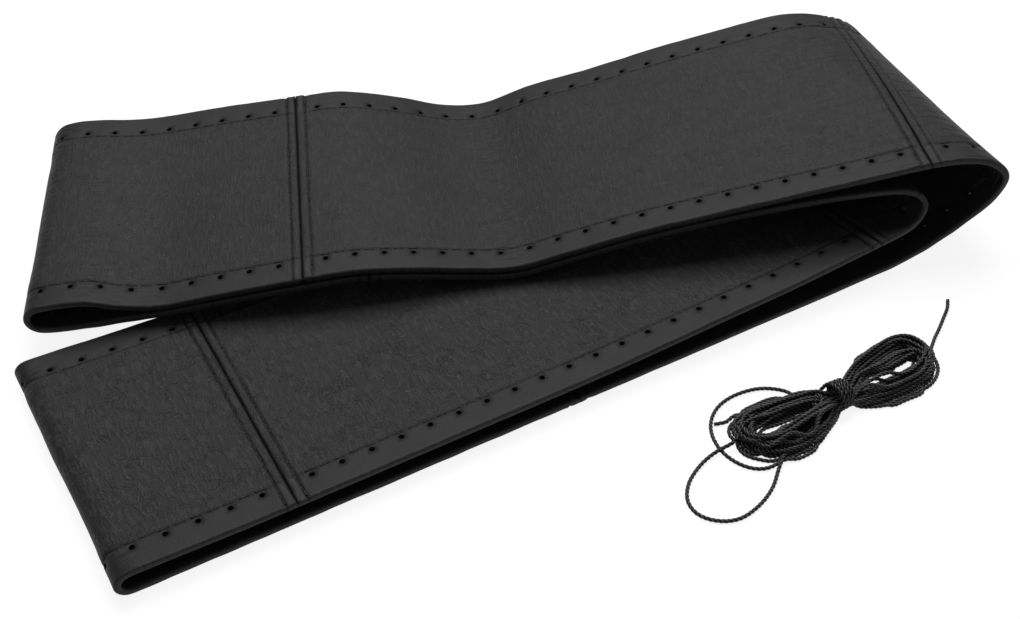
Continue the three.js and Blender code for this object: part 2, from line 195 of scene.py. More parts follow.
@dataclass
class Lay:
    """Where a place on the flat ring comes to lie once the cover is folded.

    Sizes are in millimetres, and at is so many panel lengths back from the corner of the two arms.
    """

    wheel_diameter: float = 380.0
    sewn_short: float = 0.993
    width: float = 94.0
    panel_count: int = 6
    pressed: float = 4.7
    upper: Arm = Arm(6.24)
    lower: Arm = Arm(27.69)
    corner: tuple[float, float, float] = (138.9, 373.4, 0.0)
    bend_steps: int = 6
    samples: int = 40
    closing_rounds: int = 12
    turning_step: float = 1.5
    first_seam_row: int = 4
    # at near and far, height of the lower layer near and far, loft of the top layer near and far
    upper_rows: Places = (
        (1.36, 1.36, 6.1, 4.4, 6.4, 9.5),
        (1.309, 1.309, 6.9, 5.6, 2.5, 7.2),
        (1.259, 1.259, 7.3, 7.4, 0.4, 5.3),
        (1.148, 1.148, 9.5, 11.2, 0.4, 3.1),
        (1.027, 1.022, 11.8, 14.4, 0.5, 1.2),
        (0.942, 0.942, 12.9, 15.3, 0.5, 0.6),
        (0.846, 0.846, 11.1, 11.0, 0.5, 0.5),
        (0.765, 0.765, 8.6, 5.7, 0.5, 0.5),
        (0.695, 0.695, 7.4, 4.5, 0.5, 0.5),
        (0.604, 0.604, 11.3, 10.1, 0.5, 0.5),
        (0.493, 0.493, 16.3, 14.8, 0.5, 0.5),
        (0.347, 0.388, 21.0, 20.0, 0.5, 0.5),
        (0.181, 0.267, 24.2, 21.0, 2.3, 4.7),
    )
    # at near and far, rise of the second layer near and far
    lower_rows: Places = (
        (1.329, 1.329, 4.3, 2.2),
        (1.198, 1.198, 3.7, 1.0),
        (1.047, 1.047, 3.8, 0.1),
        (0.846, 0.846, 3.9, 0.1),
        (0.614, 0.614, 4.2, 0.1),
        (0.438, 0.438, 5.7, 0.2),
        (0.287, 0.262, 7.1, 0.5),
        (0.176, 0.111, 8.9, 1.1),
    )
    flat_rows: tuple[tuple[float, float], ...] = (
        (0.242, 0.06),
        (0.483, 0.403),
        (0.745, 0.745),
        (1.007, 1.007),
        (1.259, 1.259),
    )
    # how much further round the ring each seam's far end lies than its near end
    seam_slips: tuple[float, ...] = (0.0, 0.0, 0.0, 8.0, 0.0, 0.0)
    points: list[np.ndarray] = field(init=False)
    lengths: list[np.ndarray] = field(init=False)
    ways: list[np.ndarray] = field(init=False)

    def __post_init__(self) -> None:
        """Closes the ring and works out which way it faces along both edges."""
        self.ring = math.pi * self.wheel_diameter * self.sewn_short
        self.panel = self.ring / self.panel_count
        shift = [0.0, 0.0]
        for _ in range(self.closing_rounds):
            rulings = self._rulings(shift)
            self.points = [self._edge_points(rulings, edge) for edge in Edge]
            self.lengths = [lengths_along(p) for p in self.points]
            shift = [s + (self.ring - length[-1]) / 2 for s, length in zip(shift, self.lengths)]
        self.ways = [self._ways(p) for p in self.points]

    def _on_arm(self, arm: Arm, at: float, edge: int, height: float) -> np.ndarray:
        """A point on an edge of an arm, so many panel lengths back from the corner."""
        point = (
            np.array(self.corner)
            - arm.along * at * self.panel
            + arm.across * edge * self.width
        )
        point[2] = height
        return point

    def _ruling(self, arm: Arm, at: Sequence[float], heights: Sequence[float]) -> np.ndarray:
        """The straight line across the band at one place, as its near and far end."""
        return np.array([self._on_arm(arm, at[e], e, heights[e]) for e in (0, 1)])

    def _bend(
        self, start: np.ndarray, end: np.ndarray, leaving: Arm, joining: Arm, reach: Sequence[float]
    ) -> list[np.ndarray]:
        """The rulings round a bend, from one ruling to another.

        Args:
            start: The first ruling.
            end: The last one.
            leaving: The arm that the bend bulges out along at first.
            joining: The arm that it bulges out along at the end.
            reach: How far it bulges at the near and the far edge.

        Returns:
            The rulings in order, with both ends.
        """
        rulings = []
        for i in range(self.bend_steps + 1):
            turn = math.pi * i / self.bend_steps
            share = (1 - math.cos(turn)) / 2
            way = heading(leaving.degrees * (1 - share) + joining.degrees * share)
            bulge = np.array(reach)[:, None] * math.sin(turn) * way
            rulings.append(start * (1 - share) + end * share + bulge)
        return rulings

    def _rulings(self, shift: Sequence[float]) -> list[np.ndarray]:
        """All rulings round the ring from the first seam, with the upper fold moved by shift."""
        pressed, upper, lower = self.pressed, self.upper, self.lower
        top = [
            self._ruling(upper, r[:2], [r[2 + e] + pressed + r[4 + e] for e in (0, 1)])
            for r in self.upper_rows
        ]
        under = [self._ruling(upper, r[:2], r[2:4]) for r in reversed(self.upper_rows)]
        outer = self._bend(
            self._ruling(upper, (-0.01, 0.146), (36.0, 34.4)),
            self._ruling(lower, (0.099, -0.081), (0.0, 0.0)),
            upper, lower, (25.5, 27.5),
        )
        flat = [self._ruling(lower, at, (0.0, 0.0)) for at in self.flat_rows]
        lower_fold = self._bend(
            self._ruling(lower, (1.37, 1.375), (0.0, 0.0)),
            self._ruling(lower, (1.37, 1.375), (pressed + 4.3, pressed + 2.6)),
            lower, lower, (-5.0, -4.2),
        )
        second = [
            self._ruling(lower, r[:2], (pressed + r[2], pressed + r[3])) for r in self.lower_rows
        ]
        inner = self._bend(
            self._ruling(lower, (0.089, 0.027), (pressed + 10.5, pressed + 1.5)),
            self._ruling(upper, (0.085, 0.205), (24.3, 20.6)),
            lower, upper, (8.0, 9.0),
        )
        fold_at = (1.4 + shift[0] / self.panel, 1.41 + shift[1] / self.panel)
        upper_fold = self._bend(
            self._ruling(upper, fold_at, (6.1, 4.0)),
            self._ruling(upper, fold_at, (16.9, 18.6)),
            upper, upper, (-6.0, -8.0),
        )
        first = self.first_seam_row
        return [
            *top[first:], *outer, *flat, *lower_fold, *second, *inner, *under, *upper_fold,
            *top[:first],
        ]

    def _edge_points(self, rulings: list[np.ndarray], edge: Edge) -> np.ndarray:
        """One edge of the ring as a closed smooth line, never below the floor."""
        line = smooth_line(np.array([r[edge.value] for r in rulings]), self.samples, closed=True)
        line[:, 2] = np.maximum(line[:, 2], 0.0)
        return line

    @staticmethod
    def _ways(line: np.ndarray, reach: int = 3) -> np.ndarray:
        """The way along a closed line at each of its samples."""
        count = len(line) - 1
        i = np.arange(count + 1)
        return line[(i + reach) % count] - line[(i - reach) % count]

    def _facing(self, i: np.ndarray, share: np.ndarray) -> np.ndarray:
        """Which way the outer face looks at a sample of the edges, at a share of the way across."""
        way = self.ways[0][i] * (1 - share) + self.ways[1][i] * share
        facing = np.cross(way, self.points[1][i] - self.points[0][i])
        return facing / np.linalg.norm(facing, axis=1)[:, None]

    def place(self, along: np.ndarray, across: np.ndarray, depth: np.ndarray) -> np.ndarray:
        """Lays places of the flat ring down folded.

        Args:
            along: How far along the ring from its first seam, in mm.
            across: How far from the near edge.
            depth: How deep under the outer face.

        Returns:
            The points in the model's frame, in metres.
        """
        share = across / self.width
        seams = np.arange(-1, self.panel_count + 2)
        slips = np.array(self.seam_slips)[seams % self.panel_count]
        slip = np.interp(along / self.panel, seams, slips)
        wanted = np.mod(along + slip * share, self.ring)
        (near, far), (near_reached, far_reached) = self.points, self.lengths
        low = np.zeros(len(along), int)
        high = np.full(len(along), len(near) - 1)
        while (high - low).max() > 1:
            middle = (low + high) >> 1
            below = near_reached[middle] * (1 - share) + far_reached[middle] * share <= wanted
            low, high = np.where(below, middle, low), np.where(below, high, middle)
        reached = [near_reached[i] * (1 - share) + far_reached[i] * share for i in (low, high)]
        part = ((wanted - reached[0]) / (reached[1] - reached[0]))[:, None]
        share = share[:, None]
        before, after = (near[i] * (1 - share) + far[i] * share for i in (low, high))
        facing = self._facing(low, share) * (1 - part) + self._facing(high, share) * part
        facing /= np.linalg.norm(facing, axis=1)[:, None]
        placed = before * (1 - part) + after * part - facing * depth[:, None] + TO_MODEL
        placed[:, 2] = np.maximum(placed[:, 2], 0.0)
        return placed * MM

    def turning(self, along: np.ndarray, across: np.ndarray) -> np.ndarray:
        """How sharply the band turns at each place, in radians per mm, where it bulges outwards."""
        zero = np.zeros(len(along))
        steps = (-self.turning_step, self.turning_step)
        top = [self.place(along + d, across, zero) for d in steps]
        deep = [self.place(along + d, across, zero + 1.0) for d in steps]
        wide = np.linalg.norm(top[1] - top[0], axis=1)
        tight = np.linalg.norm(deep[1] - deep[0], axis=1)
        return (wide - tight) / np.maximum(wide, 1e-9)


class NodeTree:
    """A shader node tree that is being filled."""

    def __init__(self, tree: bpy.types.NodeTree) -> None:
        """Takes a tree and empties it."""
        self.tree = tree
        tree.nodes.clear()

    def add(self, kind: str, inputs: dict | None = None, **settings: object) -> bpy.types.Node:
        """Adds a node.

        Args:
            kind: The node's type, without ShaderNode in front.
            inputs: Values or sockets for its inputs, by name or number.
            **settings: Its own settings.

        Returns:
            The node.
        """
        node = self.tree.nodes.new(kind if kind.startswith("Node") else "ShaderNode" + kind)
        for name, value in settings.items():
            setattr(node, name, value)
        for name, value in (inputs or {}).items():
            self.put(value, node.inputs[name])
        return node

    def put(self, value: object, socket: bpy.types.NodeSocket) -> None:
        """Links an output to an input, or sets the input to a value."""
        if isinstance(value, bpy.types.NodeSocket):
            self.tree.links.new(value, socket)
        else:
            socket.default_value = value

    def math(self, operation: str, *values: object, clamp: bool = False) -> bpy.types.NodeSocket:
        """The result of a Math node on numbers or sockets."""
        node = self.add("Math", dict(enumerate(values)), operation=operation, use_clamp=clamp)
        return node.outputs[0]

    def remap(
        self, value: object, low: float, high: float, to: tuple[float, float] = (0.0, 1.0)
    ) -> bpy.types.NodeSocket:
        """A value stretched from one range to another, smooth at both ends."""
        node = self.add(
            "MapRange",
            {"Value": value, "From Min": low, "From Max": high, "To Min": to[0], "To Max": to[1]},
            interpolation_type="SMOOTHSTEP",
        )
        return node.outputs["Result"]

    def mix(self, share: object, a: object, b: object) -> bpy.types.NodeSocket:
        """Two colours mixed by a share."""
        node = self.add("Mix", data_type="RGBA")
        for name, value in (("Factor_Float", share), ("A_Color", a), ("B_Color", b)):
            self.put(value, next(s for s in node.inputs if s.identifier == name))
        return next(s for s in node.outputs if s.identifier == "Result_Color")

    def attribute(self, name: str) -> bpy.types.NodeSocket:
        """A number that is stored on the mesh's points."""
        return self.add("Attribute", attribute_type="GEOMETRY", attribute_name=name).outputs["Fac"]

    def surface(
        self,
        colour: object,
        roughness: object,
        specular: float,
        bump: bpy.types.Node,
        **more: float,
    ) -> None:
        """Ends a material with a Principled shader.

        Args:
            colour: Its base colour.
            roughness: Its roughness.
            specular: Its specular level.
            bump: The node that its normal comes from.
            **more: More of its inputs, with _ for each space in their names.
        """
        inputs = {
            "Base Color": colour,
            "Roughness": roughness,
            "Specular IOR Level": specular,
            "Normal": bump.outputs["Normal"],
            **{name.replace("_", " "): value for name, value in more.items()},
        }
        shader = self.add("BsdfPrincipled", inputs)
        self.add("OutputMaterial", {"Surface": shader.outputs[0]})


def new_material(name: str) -> tuple[bpy.types.Material, NodeTree]:
    """A new material, and its node tree for filling."""
    material = bpy.data.materials.new(name)
    material.use_nodes = True
    return material, NodeTree(material.node_tree)


def new_group(
    name: str, inputs: dict[str, float | str], outputs: Sequence[str]
) -> tuple[NodeTree, dict[str, bpy.types.NodeSocket]]:
    """Starts a shader node group, which ends with a NodeGroupOutput node.

    Args:
        name: The group's name.
        inputs: Its inputs, as a default number, or the word vector.
        outputs: Its outputs, which are numbers.

    Returns:
        Its tree for filling, and its inputs by name.
    """
    group = bpy.data.node_groups.new(name, "ShaderNodeTree")
    for key, value in inputs.items():
        kind = "NodeSocketVector" if value == "vector" else "NodeSocketFloat"
        socket = group.interface.new_socket(key, in_out="INPUT", socket_type=kind)
        if value != "vector":
            socket.default_value = value
    for key in outputs:
        group.interface.new_socket(key, in_out="OUTPUT", socket_type="NodeSocketFloat")
    tree = NodeTree(group)
    given = tree.add("NodeGroupInput").outputs
    return tree, {key: given[key] for key in inputs}


def pebble_group() -> bpy.types.NodeTree:
    """Leather grain: small flat pebbles with fine valleys between, and short raised creases."""
    tree, given = new_group(
        "leather_grain",
        {"Flat place": "vector", "Pebble size": 0.0011, "Crease size": 0.004, "Creasing": 0.5},
        ("Height", "Valleys", "Creases"),
    )
    place = given["Flat place"]
    wander = tree.add("TexNoise", {"Vector": place, "Scale": 420.0, "Detail": 2.0})
    shaken = tree.add(
        "VectorMath", {0: wander.outputs["Color"], 1: (0.0012, 0.0012, 0.0)}, operation="MULTIPLY"
    )
    moved = tree.add("VectorMath", {0: place, 1: shaken.outputs[0]}, operation="ADD").outputs[0]
    pebbles = tree.add(
        "TexVoronoi",
        {"Vector": moved, "Scale": tree.math("DIVIDE", 1.0, given["Pebble size"])},
        feature="DISTANCE_TO_EDGE",
        voronoi_dimensions="2D",
    )
    flat = tree.remap(pebbles.outputs["Distance"], 0.0, 0.22)
    fold_scale = tree.math("DIVIDE", 1.0, given["Crease size"])
    folds = tree.add(
        "TexNoise",
        {"Vector": moved, "Scale": fold_scale, "Detail": 2.5, "Roughness": 0.55, "Distortion": 0.9},
        noise_dimensions="2D",
    )
    ridge = tree.math("ABSOLUTE", tree.math("SUBTRACT", folds.outputs["Fac"], 0.5))
    thin = tree.remap(ridge, 0.035, 0.0)
    where = tree.add("TexNoise", {"Vector": place, "Scale": 150.0, "Detail": 1.0})
    patches = tree.remap(where.outputs["Fac"], 0.42, 0.6)
    creases = tree.math("MULTIPLY", tree.math("MULTIPLY", thin, patches), given["Creasing"])
    height = tree.math("ADD", tree.math("MULTIPLY", flat, 0.3), tree.math("MULTIPLY", creases, 0.8))
    valleys = tree.math("SUBTRACT", 1.0, flat)
    tree.add("NodeGroupOutput", {"Height": height, "Valleys": valleys, "Creases": creases})
    return tree.tree


def streak_group() -> bpy.types.NodeTree:
    """Fine wrinkles that run along the band, as leather gets where it is bent."""
    tree, given = new_group(
        "bend_wrinkles",
        {"Flat place": "vector", "Length": 0.02, "Spacing": 0.0016, "Amount": 0.5},
        ("Height",),
    )
    split = tree.add("SeparateXYZ", {0: given["Flat place"]})
    along = tree.math("DIVIDE", split.outputs[0], given["Length"])
    across = tree.math("DIVIDE", split.outputs[1], given["Spacing"])
    lines = tree.add(
        "TexNoise",
        {
            "Vector": tree.add("CombineXYZ", {0: along, 1: across, 2: 0.0}).outputs[0],
            "Scale": 1.0,
            "Detail": 1.5,
            "Distortion": 0.35,
        },
        noise_dimensions="2D",
    )
    ridge = tree.remap(lines.outputs["Fac"], 0.42, 0.68)
    tree.add("NodeGroupOutput", {"Height": tree.math("MULTIPLY", ridge, given["Amount"])})
    return tree.tree


def wear_and_rim_highlight_group() -> bpy.types.NodeTree:
    """Edge wear with a painted rim highlight: how far a colour is made lighter along edges, broken
    up by fine noise.
    """
    tree, given = new_group(
        "edge_wear_and_rim_highlight", {"Flat place": "vector", "Edge": 0.0, "Amount": 0.5}, ("Wear_and_rim_highlight",)
    )
    speckle = tree.add("TexNoise", {"Vector": given["Flat place"], "Scale": 700.0, "Detail": 3.0})
    broken = tree.remap(speckle.outputs["Fac"], 0.3, 0.7, (0.35, 1.0))
    rubbed_and_highlighted = tree.math("MULTIPLY", given["Edge"], broken)
    wear_and_highlight = tree.math("MULTIPLY", rubbed_and_highlighted, given["Amount"], clamp=True)
    tree.add("NodeGroupOutput", {"Wear_and_rim_highlight": wear_and_highlight})
    return tree.tree


@dataclass(frozen=True)
class LeatherFinish:
    """The grain side of the leather, dyed black, and how much it shows of grain and wear, of
    painted highlights on creases and edges, and of painted shade in stitched grooves and round
    holes.
    """

    name: str = "black_leather"
    base: Colour = (0.0165, 0.0167, 0.0177, 1.0)
    valley: Colour = (0.009, 0.009, 0.0095, 1.0)
    # lighter colour: edge wear, and painted highlights on creases and edges
    wear_and_highlight: Colour = (0.05, 0.051, 0.049, 1.0)
    # painted shade for the stitched grooves, the seams' middle groove and the holes' rims
    groove_shade_colour: Colour = (0.0025, 0.0025, 0.0025, 1.0)
    roughness: float = 0.5
    specular: float = 0.24
    sheen: float = 0.02
    bump_height: float = 0.00016
    # in metres: the grain, the wrinkles along bends, and the short ones across the band
    pebble_size: float = 0.0009
    crease_size: float = 0.0042
    wrinkle: tuple[float, float] = (0.016, 0.0022)
    cross_wrinkle: tuple[float, float] = (0.0012, 0.0048)
    wear_and_highlight_amount: float = 0.7
    # how much of each shows in the colour
    cloudiness: float = 0.45
    valley_share: float = 0.22
    crease_highlight_share: float = 0.3
    groove_shade_share: float = 0.9

    def build(
        self, grain: bpy.types.NodeTree, streaks: bpy.types.NodeTree, wear: bpy.types.NodeTree
    ) -> bpy.types.Material:
        """Makes the material.

        Args:
            grain: The group of the leather's grain.
            streaks: The group of its wrinkles.
            wear: The group of its scuffed edges, with their painted rim highlight.

        Returns:
            The material.
        """
        material, tree = new_material(self.name)
        place = tree.add("UVMap", uv_map="flat").outputs["UV"]
        edge, bent, grained, groove_shade = (tree.attribute(k) for k in ("edge", "bent", "grain", "groove_shade"))
        pebbles = tree.add(
            "Group",
            {
                "Flat place": place,
                "Pebble size": self.pebble_size,
                "Crease size": self.crease_size,
                "Creasing": grained,
            },
            node_tree=grain,
        ).outputs
        wrinkles, across = (
            tree.add(
                "Group",
                {"Flat place": place, "Length": size[0], "Spacing": size[1], "Amount": amount},
                node_tree=streaks,
            ).outputs["Height"]
            for size, amount in ((self.wrinkle, bent), (self.cross_wrinkle, grained))
        )
        wear_and_highlight = tree.add(
            "Group", {"Flat place": place, "Edge": edge, "Amount": self.wear_and_highlight_amount}, node_tree=wear
        ).outputs["Wear_and_rim_highlight"]
        cloud = tree.add(
            "TexNoise", {"Vector": place, "Scale": 38.0, "Detail": 3.0, "Roughness": 0.6}
        ).outputs["Fac"]
        clouded = tree.remap(cloud, 0.3, 0.7, (0.0, self.cloudiness))
        colour = tree.mix(clouded, self.base, self.valley)
        # then the grain's valleys, a painted highlight on creases and on the short wrinkles across
        # the band, edge wear with a painted rim highlight, and painted shade in the stitched
        # grooves and round the holes
        for mask, share, over in (
            (pebbles["Valleys"], self.valley_share, self.valley),
            (across, self.crease_highlight_share, self.wear_and_highlight),
            (pebbles["Creases"], self.crease_highlight_share, self.wear_and_highlight),
            (wear_and_highlight, 1.0, self.wear_and_highlight),
            (groove_shade, self.groove_shade_share, self.groove_shade_colour),
        ):
            colour = tree.mix(tree.math("MULTIPLY", mask, share), colour, over)
        grain_share = tree.remap(grained, 0.0, 1.0, (0.35, 1.0))
        height = tree.math("MULTIPLY", pebbles["Height"], grain_share)
        for wrinkled, share in ((across, 0.5), (wrinkles, 1.6)):
            height = tree.math("ADD", height, tree.math("MULTIPLY", wrinkled, share))
        bump = tree.add("Bump", {"Strength": 1.0, "Distance": self.bump_height, "Height": height})
        rough = tree.remap(
            pebbles["Height"], 0.0, 1.0, (self.roughness + 0.1, self.roughness - 0.03)
        )
        tree.surface(
            colour, rough, self.specular, bump, Sheen_Weight=self.sheen, Sheen_Roughness=0.4
        )
        return material


@dataclass(frozen=True)
class FleshFinish:
    """The inner side of the leather: rough and dark grey, with loose fibres on it."""

    name: str = "flesh_side"
    base: Colour = (0.04, 0.043, 0.051, 1.0)
    lint: Colour = (0.13, 0.125, 0.12, 1.0)
    roughness: float = 0.92
    specular: float = 0.15
    bump_height: float = 0.0003

    def build(self) -> bpy.types.Material:
        """Makes the material."""
        material, tree = new_material(self.name)
        place = tree.add("UVMap", uv_map="flat").outputs["UV"]
        nap = tree.add(
            "TexNoise", {"Vector": place, "Scale": 900.0, "Detail": 5.0, "Roughness": 0.7}
        )
        fibre = tree.add(
            "TexNoise", {"Vector": place, "Scale": 330.0, "Detail": 2.0, "Distortion": 2.2}
        )
        lint = tree.remap(fibre.outputs["Fac"], 0.68, 0.74)
        colour = tree.mix(tree.math("MULTIPLY", lint, 0.8), self.base, self.lint)
        height = tree.math("ADD", nap.outputs["Fac"], lint)
        bump = tree.add("Bump", {"Strength": 0.8, "Distance": self.bump_height, "Height": height})
        tree.surface(colour, self.roughness, self.specular, bump)
        return material


@dataclass(frozen=True)
class ThreadFinish:
    """Black waxed thread, with fine fibres along its plies; where the mesh has plies, a painted
    highlight on their crests.
    """

    name: str
    base: Colour = (0.0022, 0.0022, 0.0026, 1.0)
    # the fibres' colour, and where the mesh has plies also a painted highlight on their crests
    light: Colour = (0.3, 0.3, 0.305, 1.0)
    roughness: float = 0.5
    specular: float = 0.3
    painted_ply_highlight: bool = True
    fibre_scale: float = 2600.0
    bump_height: float = 0.00006

    def build(self) -> bpy.types.Material:
        """Makes the material."""
        material, tree = new_material(self.name)
        place = tree.add("TexCoord").outputs["Object"]
        fuzz = tree.add(
            "TexNoise",
            {"Vector": place, "Scale": self.fibre_scale, "Detail": 4.0, "Roughness": 0.7},
        ).outputs["Fac"]
        shade = tree.remap(fuzz, 0.35, 0.7)
        # painted highlight: the lighter colour is kept to the crests of the plies
        if self.painted_ply_highlight:
            shade = tree.math("MULTIPLY", shade, tree.remap(tree.attribute("ply"), 0.5, 0.95))
        colour = tree.mix(shade, self.base, self.light)
        bump = tree.add("Bump", {"Strength": 0.6, "Distance": self.bump_height, "Height": fuzz})
        rough = tree.remap(fuzz, 0.3, 0.7, (self.roughness - 0.1, self.roughness + 0.15))
        tree.surface(colour, rough, self.specular, bump)
        return material


@dataclass
class Finishes:
    """All materials of the cover."""

    leather: bpy.types.Material = field(init=False)
    flesh: bpy.types.Material = field(init=False)
    stitch: bpy.types.Material = field(init=False)
    lacing: bpy.types.Material = field(init=False)

    def __post_init__(self) -> None:
        """Builds the shared groups once, and then the materials."""
        self.leather = LeatherFinish().build(pebble_group(), streak_group(), wear_and_rim_highlight_group())
        self.flesh = FleshFinish().build()
        dull = ThreadFinish("stitching", light=(0.006, 0.006, 0.006, 1.0), painted_ply_highlight=False)
        self.stitch = dull.build()
        self.lacing = ThreadFinish("lacing_thread").build()


def add_piece(
    mesh: bpy.types.Mesh, materials: Iterable[bpy.types.Material]
) -> bpy.types.Object:
    """Puts a mesh in the scene as a piece that rides with the cover."""
    piece = link_object(mesh.name, mesh)
    for material in materials:
        mesh.materials.append(material)
    mesh.shade_smooth()
    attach(piece, BODY)
    log.info("%s: %d faces", mesh.name, len(mesh.polygons))
    return piece


@dataclass(frozen=True)
class Relief:
    """How the sewing, the holes and the skin raise and sink a panel's outer face, in mm."""

    # a stitched groove: its reach, its depth, and what each stitch adds to that
    hem_groove: tuple[float, float, float] = (0.36, 0.22, 0.16)
    seam_groove: tuple[float, float, float] = (0.34, 0.26, 0.16)
    # a bell: where it is, its reach and its height
    seam_dent: tuple[float, float, float] = (7.0, 2.2, 0.07)
    pillow: tuple[float, float, float] = (12.8, 2.4, 0.1)
    puckers: tuple[float, float, float] = (11.2, 1.6, 0.06)
    roll_height: float = 0.2
    ripple_height: float = 0.03
    crossing_height: float = 0.24
    hem_wave_height: float = 0.1
    dimple_reach: float = 1.6
    dimple_depth: float = 0.2
    slow_height: float = 0.3
    lump_height: float = 0.08
    fine_height: float = 0.03
    # how far the stitched lines wander
    hem_wander: float = 0.12
    seam_wander: float = 0.1


@dataclass
class Panel:
    """One leather panel with turned hems and ends, lacing holes and topstitching.

    Flat places are in mm, from the seam that the panel starts at and from the band's near edge.
    """

    index: int
    lay: Lay
    shape: Relief = Relief()
    leather: float = 1.1
    hem_width: float = 10.0
    allowance: float = 8.0
    butt_gap: float = 0.06
    hole_count: int = 21
    end_pitches: float = 0.8
    hole_radius: float = 0.8
    hole_inset: float = 7.8
    cells_per_pitch: int = 8
    round_edge: float = 0.7
    round_mouth: float = 0.16
    cell_width: float = 1.2
    hem_stitch: float = 9.6
    seam_stitch: float = 3.1
    stitches_per_pitch: int = 2
    # half of a stitch, as a share of the stitches' pitch along it, and in mm across and up
    stitch_size: tuple[float, float, float] = (0.36, 0.26, 0.2)
    stitch_sink: float = 0.2
    stitch_offset: float = 0.06
    stitch_turn: float = 0.05
    # which stretch of the ring the lower arm shows, in panels, and how grained the rest is
    lower_arm: tuple[float, float] = (2.6, 4.15)
    upper_grain: float = 0.5
    near_rows: tuple[float, ...] = (
        0.0, 1.35, 2.2, 3.3, 4.4, 5.5, 6.65, 7.8, 8.9, 9.3, 9.6, 9.9, 10.4, 11.3,
    )
    end_columns: tuple[float, ...] = (1.45, 2.1, 2.55, 2.83, 3.1, 3.37, 3.8, 4.6, 5.5, 6.4)

    @property
    def length(self) -> float:
        """From seam to seam."""
        return self.lay.panel

    @property
    def pitch(self) -> float:
        """Between two lacing holes."""
        return self.length / (self.hole_count - 1 + 2 * self.end_pitches)

    @property
    def start(self) -> float:
        """Where the panel starts along the ring."""
        return self.index * self.length

    @property
    def columns(self) -> np.ndarray:
        """The grid's places along the panel."""
        first = self.end_pitches * self.pitch
        cells = (self.hole_count - 1) * self.cells_per_pitch
        middle = first + np.arange(cells + 1) * self.pitch / self.cells_per_pitch
        ends = np.array([self.butt_gap / 2, *self.end_columns])
        return np.concatenate([ends, middle, self.length - ends[::-1]])

    @property
    def rows(self) -> np.ndarray:
        """The grid's places across the panel."""
        near = np.array(self.near_rows)
        inside = self.lay.width - 2 * near[-1]
        count = int(round(inside / self.cell_width))
        middle = near[-1] + np.arange(1, count) * inside / count
        return np.concatenate([near, middle, self.lay.width - near[::-1]])

    @property
    def stitch_pitch(self) -> float:
        """Between two stitches."""
        return self.pitch / self.stitches_per_pitch

    def margins(self, along: np.ndarray, across: np.ndarray) -> tuple[np.ndarray, np.ndarray]:
        """How far flat places are from the nearer hem edge, and from the nearer seam."""
        return np.minimum(across, self.lay.width - across), np.minimum(along, self.length - along)

    def hole_places(self) -> list[tuple[float, float]]:
        """The middle of each lacing hole, as along and across."""
        return [
            ((self.end_pitches + i) * self.pitch, across)
            for i in range(self.hole_count)
            for across in (self.hole_inset, self.lay.width - self.hole_inset)
        ]

    def thickness(self, along: float, across: float) -> float:
        """The leather's thickness, double in the hems and at the ends."""
        inset, end = self.margins(along, across)
        doubled = inset < self.hem_width + 0.1 or end < self.allowance + 0.1
        return 2 * self.leather if doubled else self.leather

    def flat_mesh(self) -> bmesh.types.BMesh:
        """The panel flat, as a closed solid with its holes, in mm, its outer face at z 0."""
        columns, rows = self.columns, self.rows
        bm = bmesh.new()
        bmesh.ops.create_grid(bm, x_segments=len(columns) - 1, y_segments=len(rows) - 1, size=0.5)
        grid = {}
        for vert in bm.verts:
            i = round((vert.co.x + 0.5) * (len(columns) - 1))
            j = round((vert.co.y + 0.5) * (len(rows) - 1))
            vert.co = (columns[i], rows[j], 0.0)
            grid[i, j] = vert
        centres = []
        for along, across in self.hole_places():
            i = int(np.argmin(abs(columns - along)))
            j = int(np.argmin(abs(rows - across)))
            centres.append(grid[i, j])
            middle = Vector((along, across, 0.0))
            for di, dj in product((-1, 0, 1), repeat=2):
                if di or dj:
                    way = Vector((di, dj, 0.0)).normalized()
                    grid[i + di, j + dj].co = middle + way * self.hole_radius
        bmesh.ops.delete(bm, geom=centres, context="VERTS")
        made = bmesh.ops.extrude_face_region(bm, geom=bm.faces[:])["geom"]
        for vert in (g for g in made if isinstance(g, bmesh.types.BMVert)):
            vert.co.z = -self.thickness(vert.co.x, vert.co.y)
        bmesh.ops.recalc_face_normals(bm, faces=bm.faces[:])
        self._round_rims(bm)
        return bm

    def _round_rims(self, bm: bmesh.types.BMesh) -> None:
        """Rounds the turned edges and ends, and takes the sharpness off the holes' rims."""
        gap, far = self.butt_gap / 2, self.length - self.butt_gap / 2

        def on_rim(vert: bmesh.types.BMVert) -> bool:
            x, y = vert.co.x, vert.co.y
            return min(abs(x - gap), abs(x - far), abs(y), abs(y - self.lay.width)) < 1e-4

        rims, mouths = [], []
        for edge in bm.edges:
            flat = abs(edge.verts[0].co.z - edge.verts[1].co.z) < 1e-6
            upright = [abs(face.normal.z) < 0.5 for face in edge.link_faces]
            if flat and len(upright) == 2 and any(upright) and not all(upright):
                (rims if all(on_rim(v) for v in edge.verts) else mouths).append(edge)
        mouths = [e for e in mouths if e.verts[0].co.z > -1e-6]
        for edges, offset, segments in ((mouths, self.round_mouth, 1), (rims, self.round_edge, 4)):
            bmesh.ops.bevel(
                bm,
                geom=[e for e in edges if e.is_valid],
                offset=offset,
                offset_type="OFFSET",
                segments=segments,
                profile=0.5,
                affect="EDGES",
                material=-1,
                clamp_overlap=True,
            )

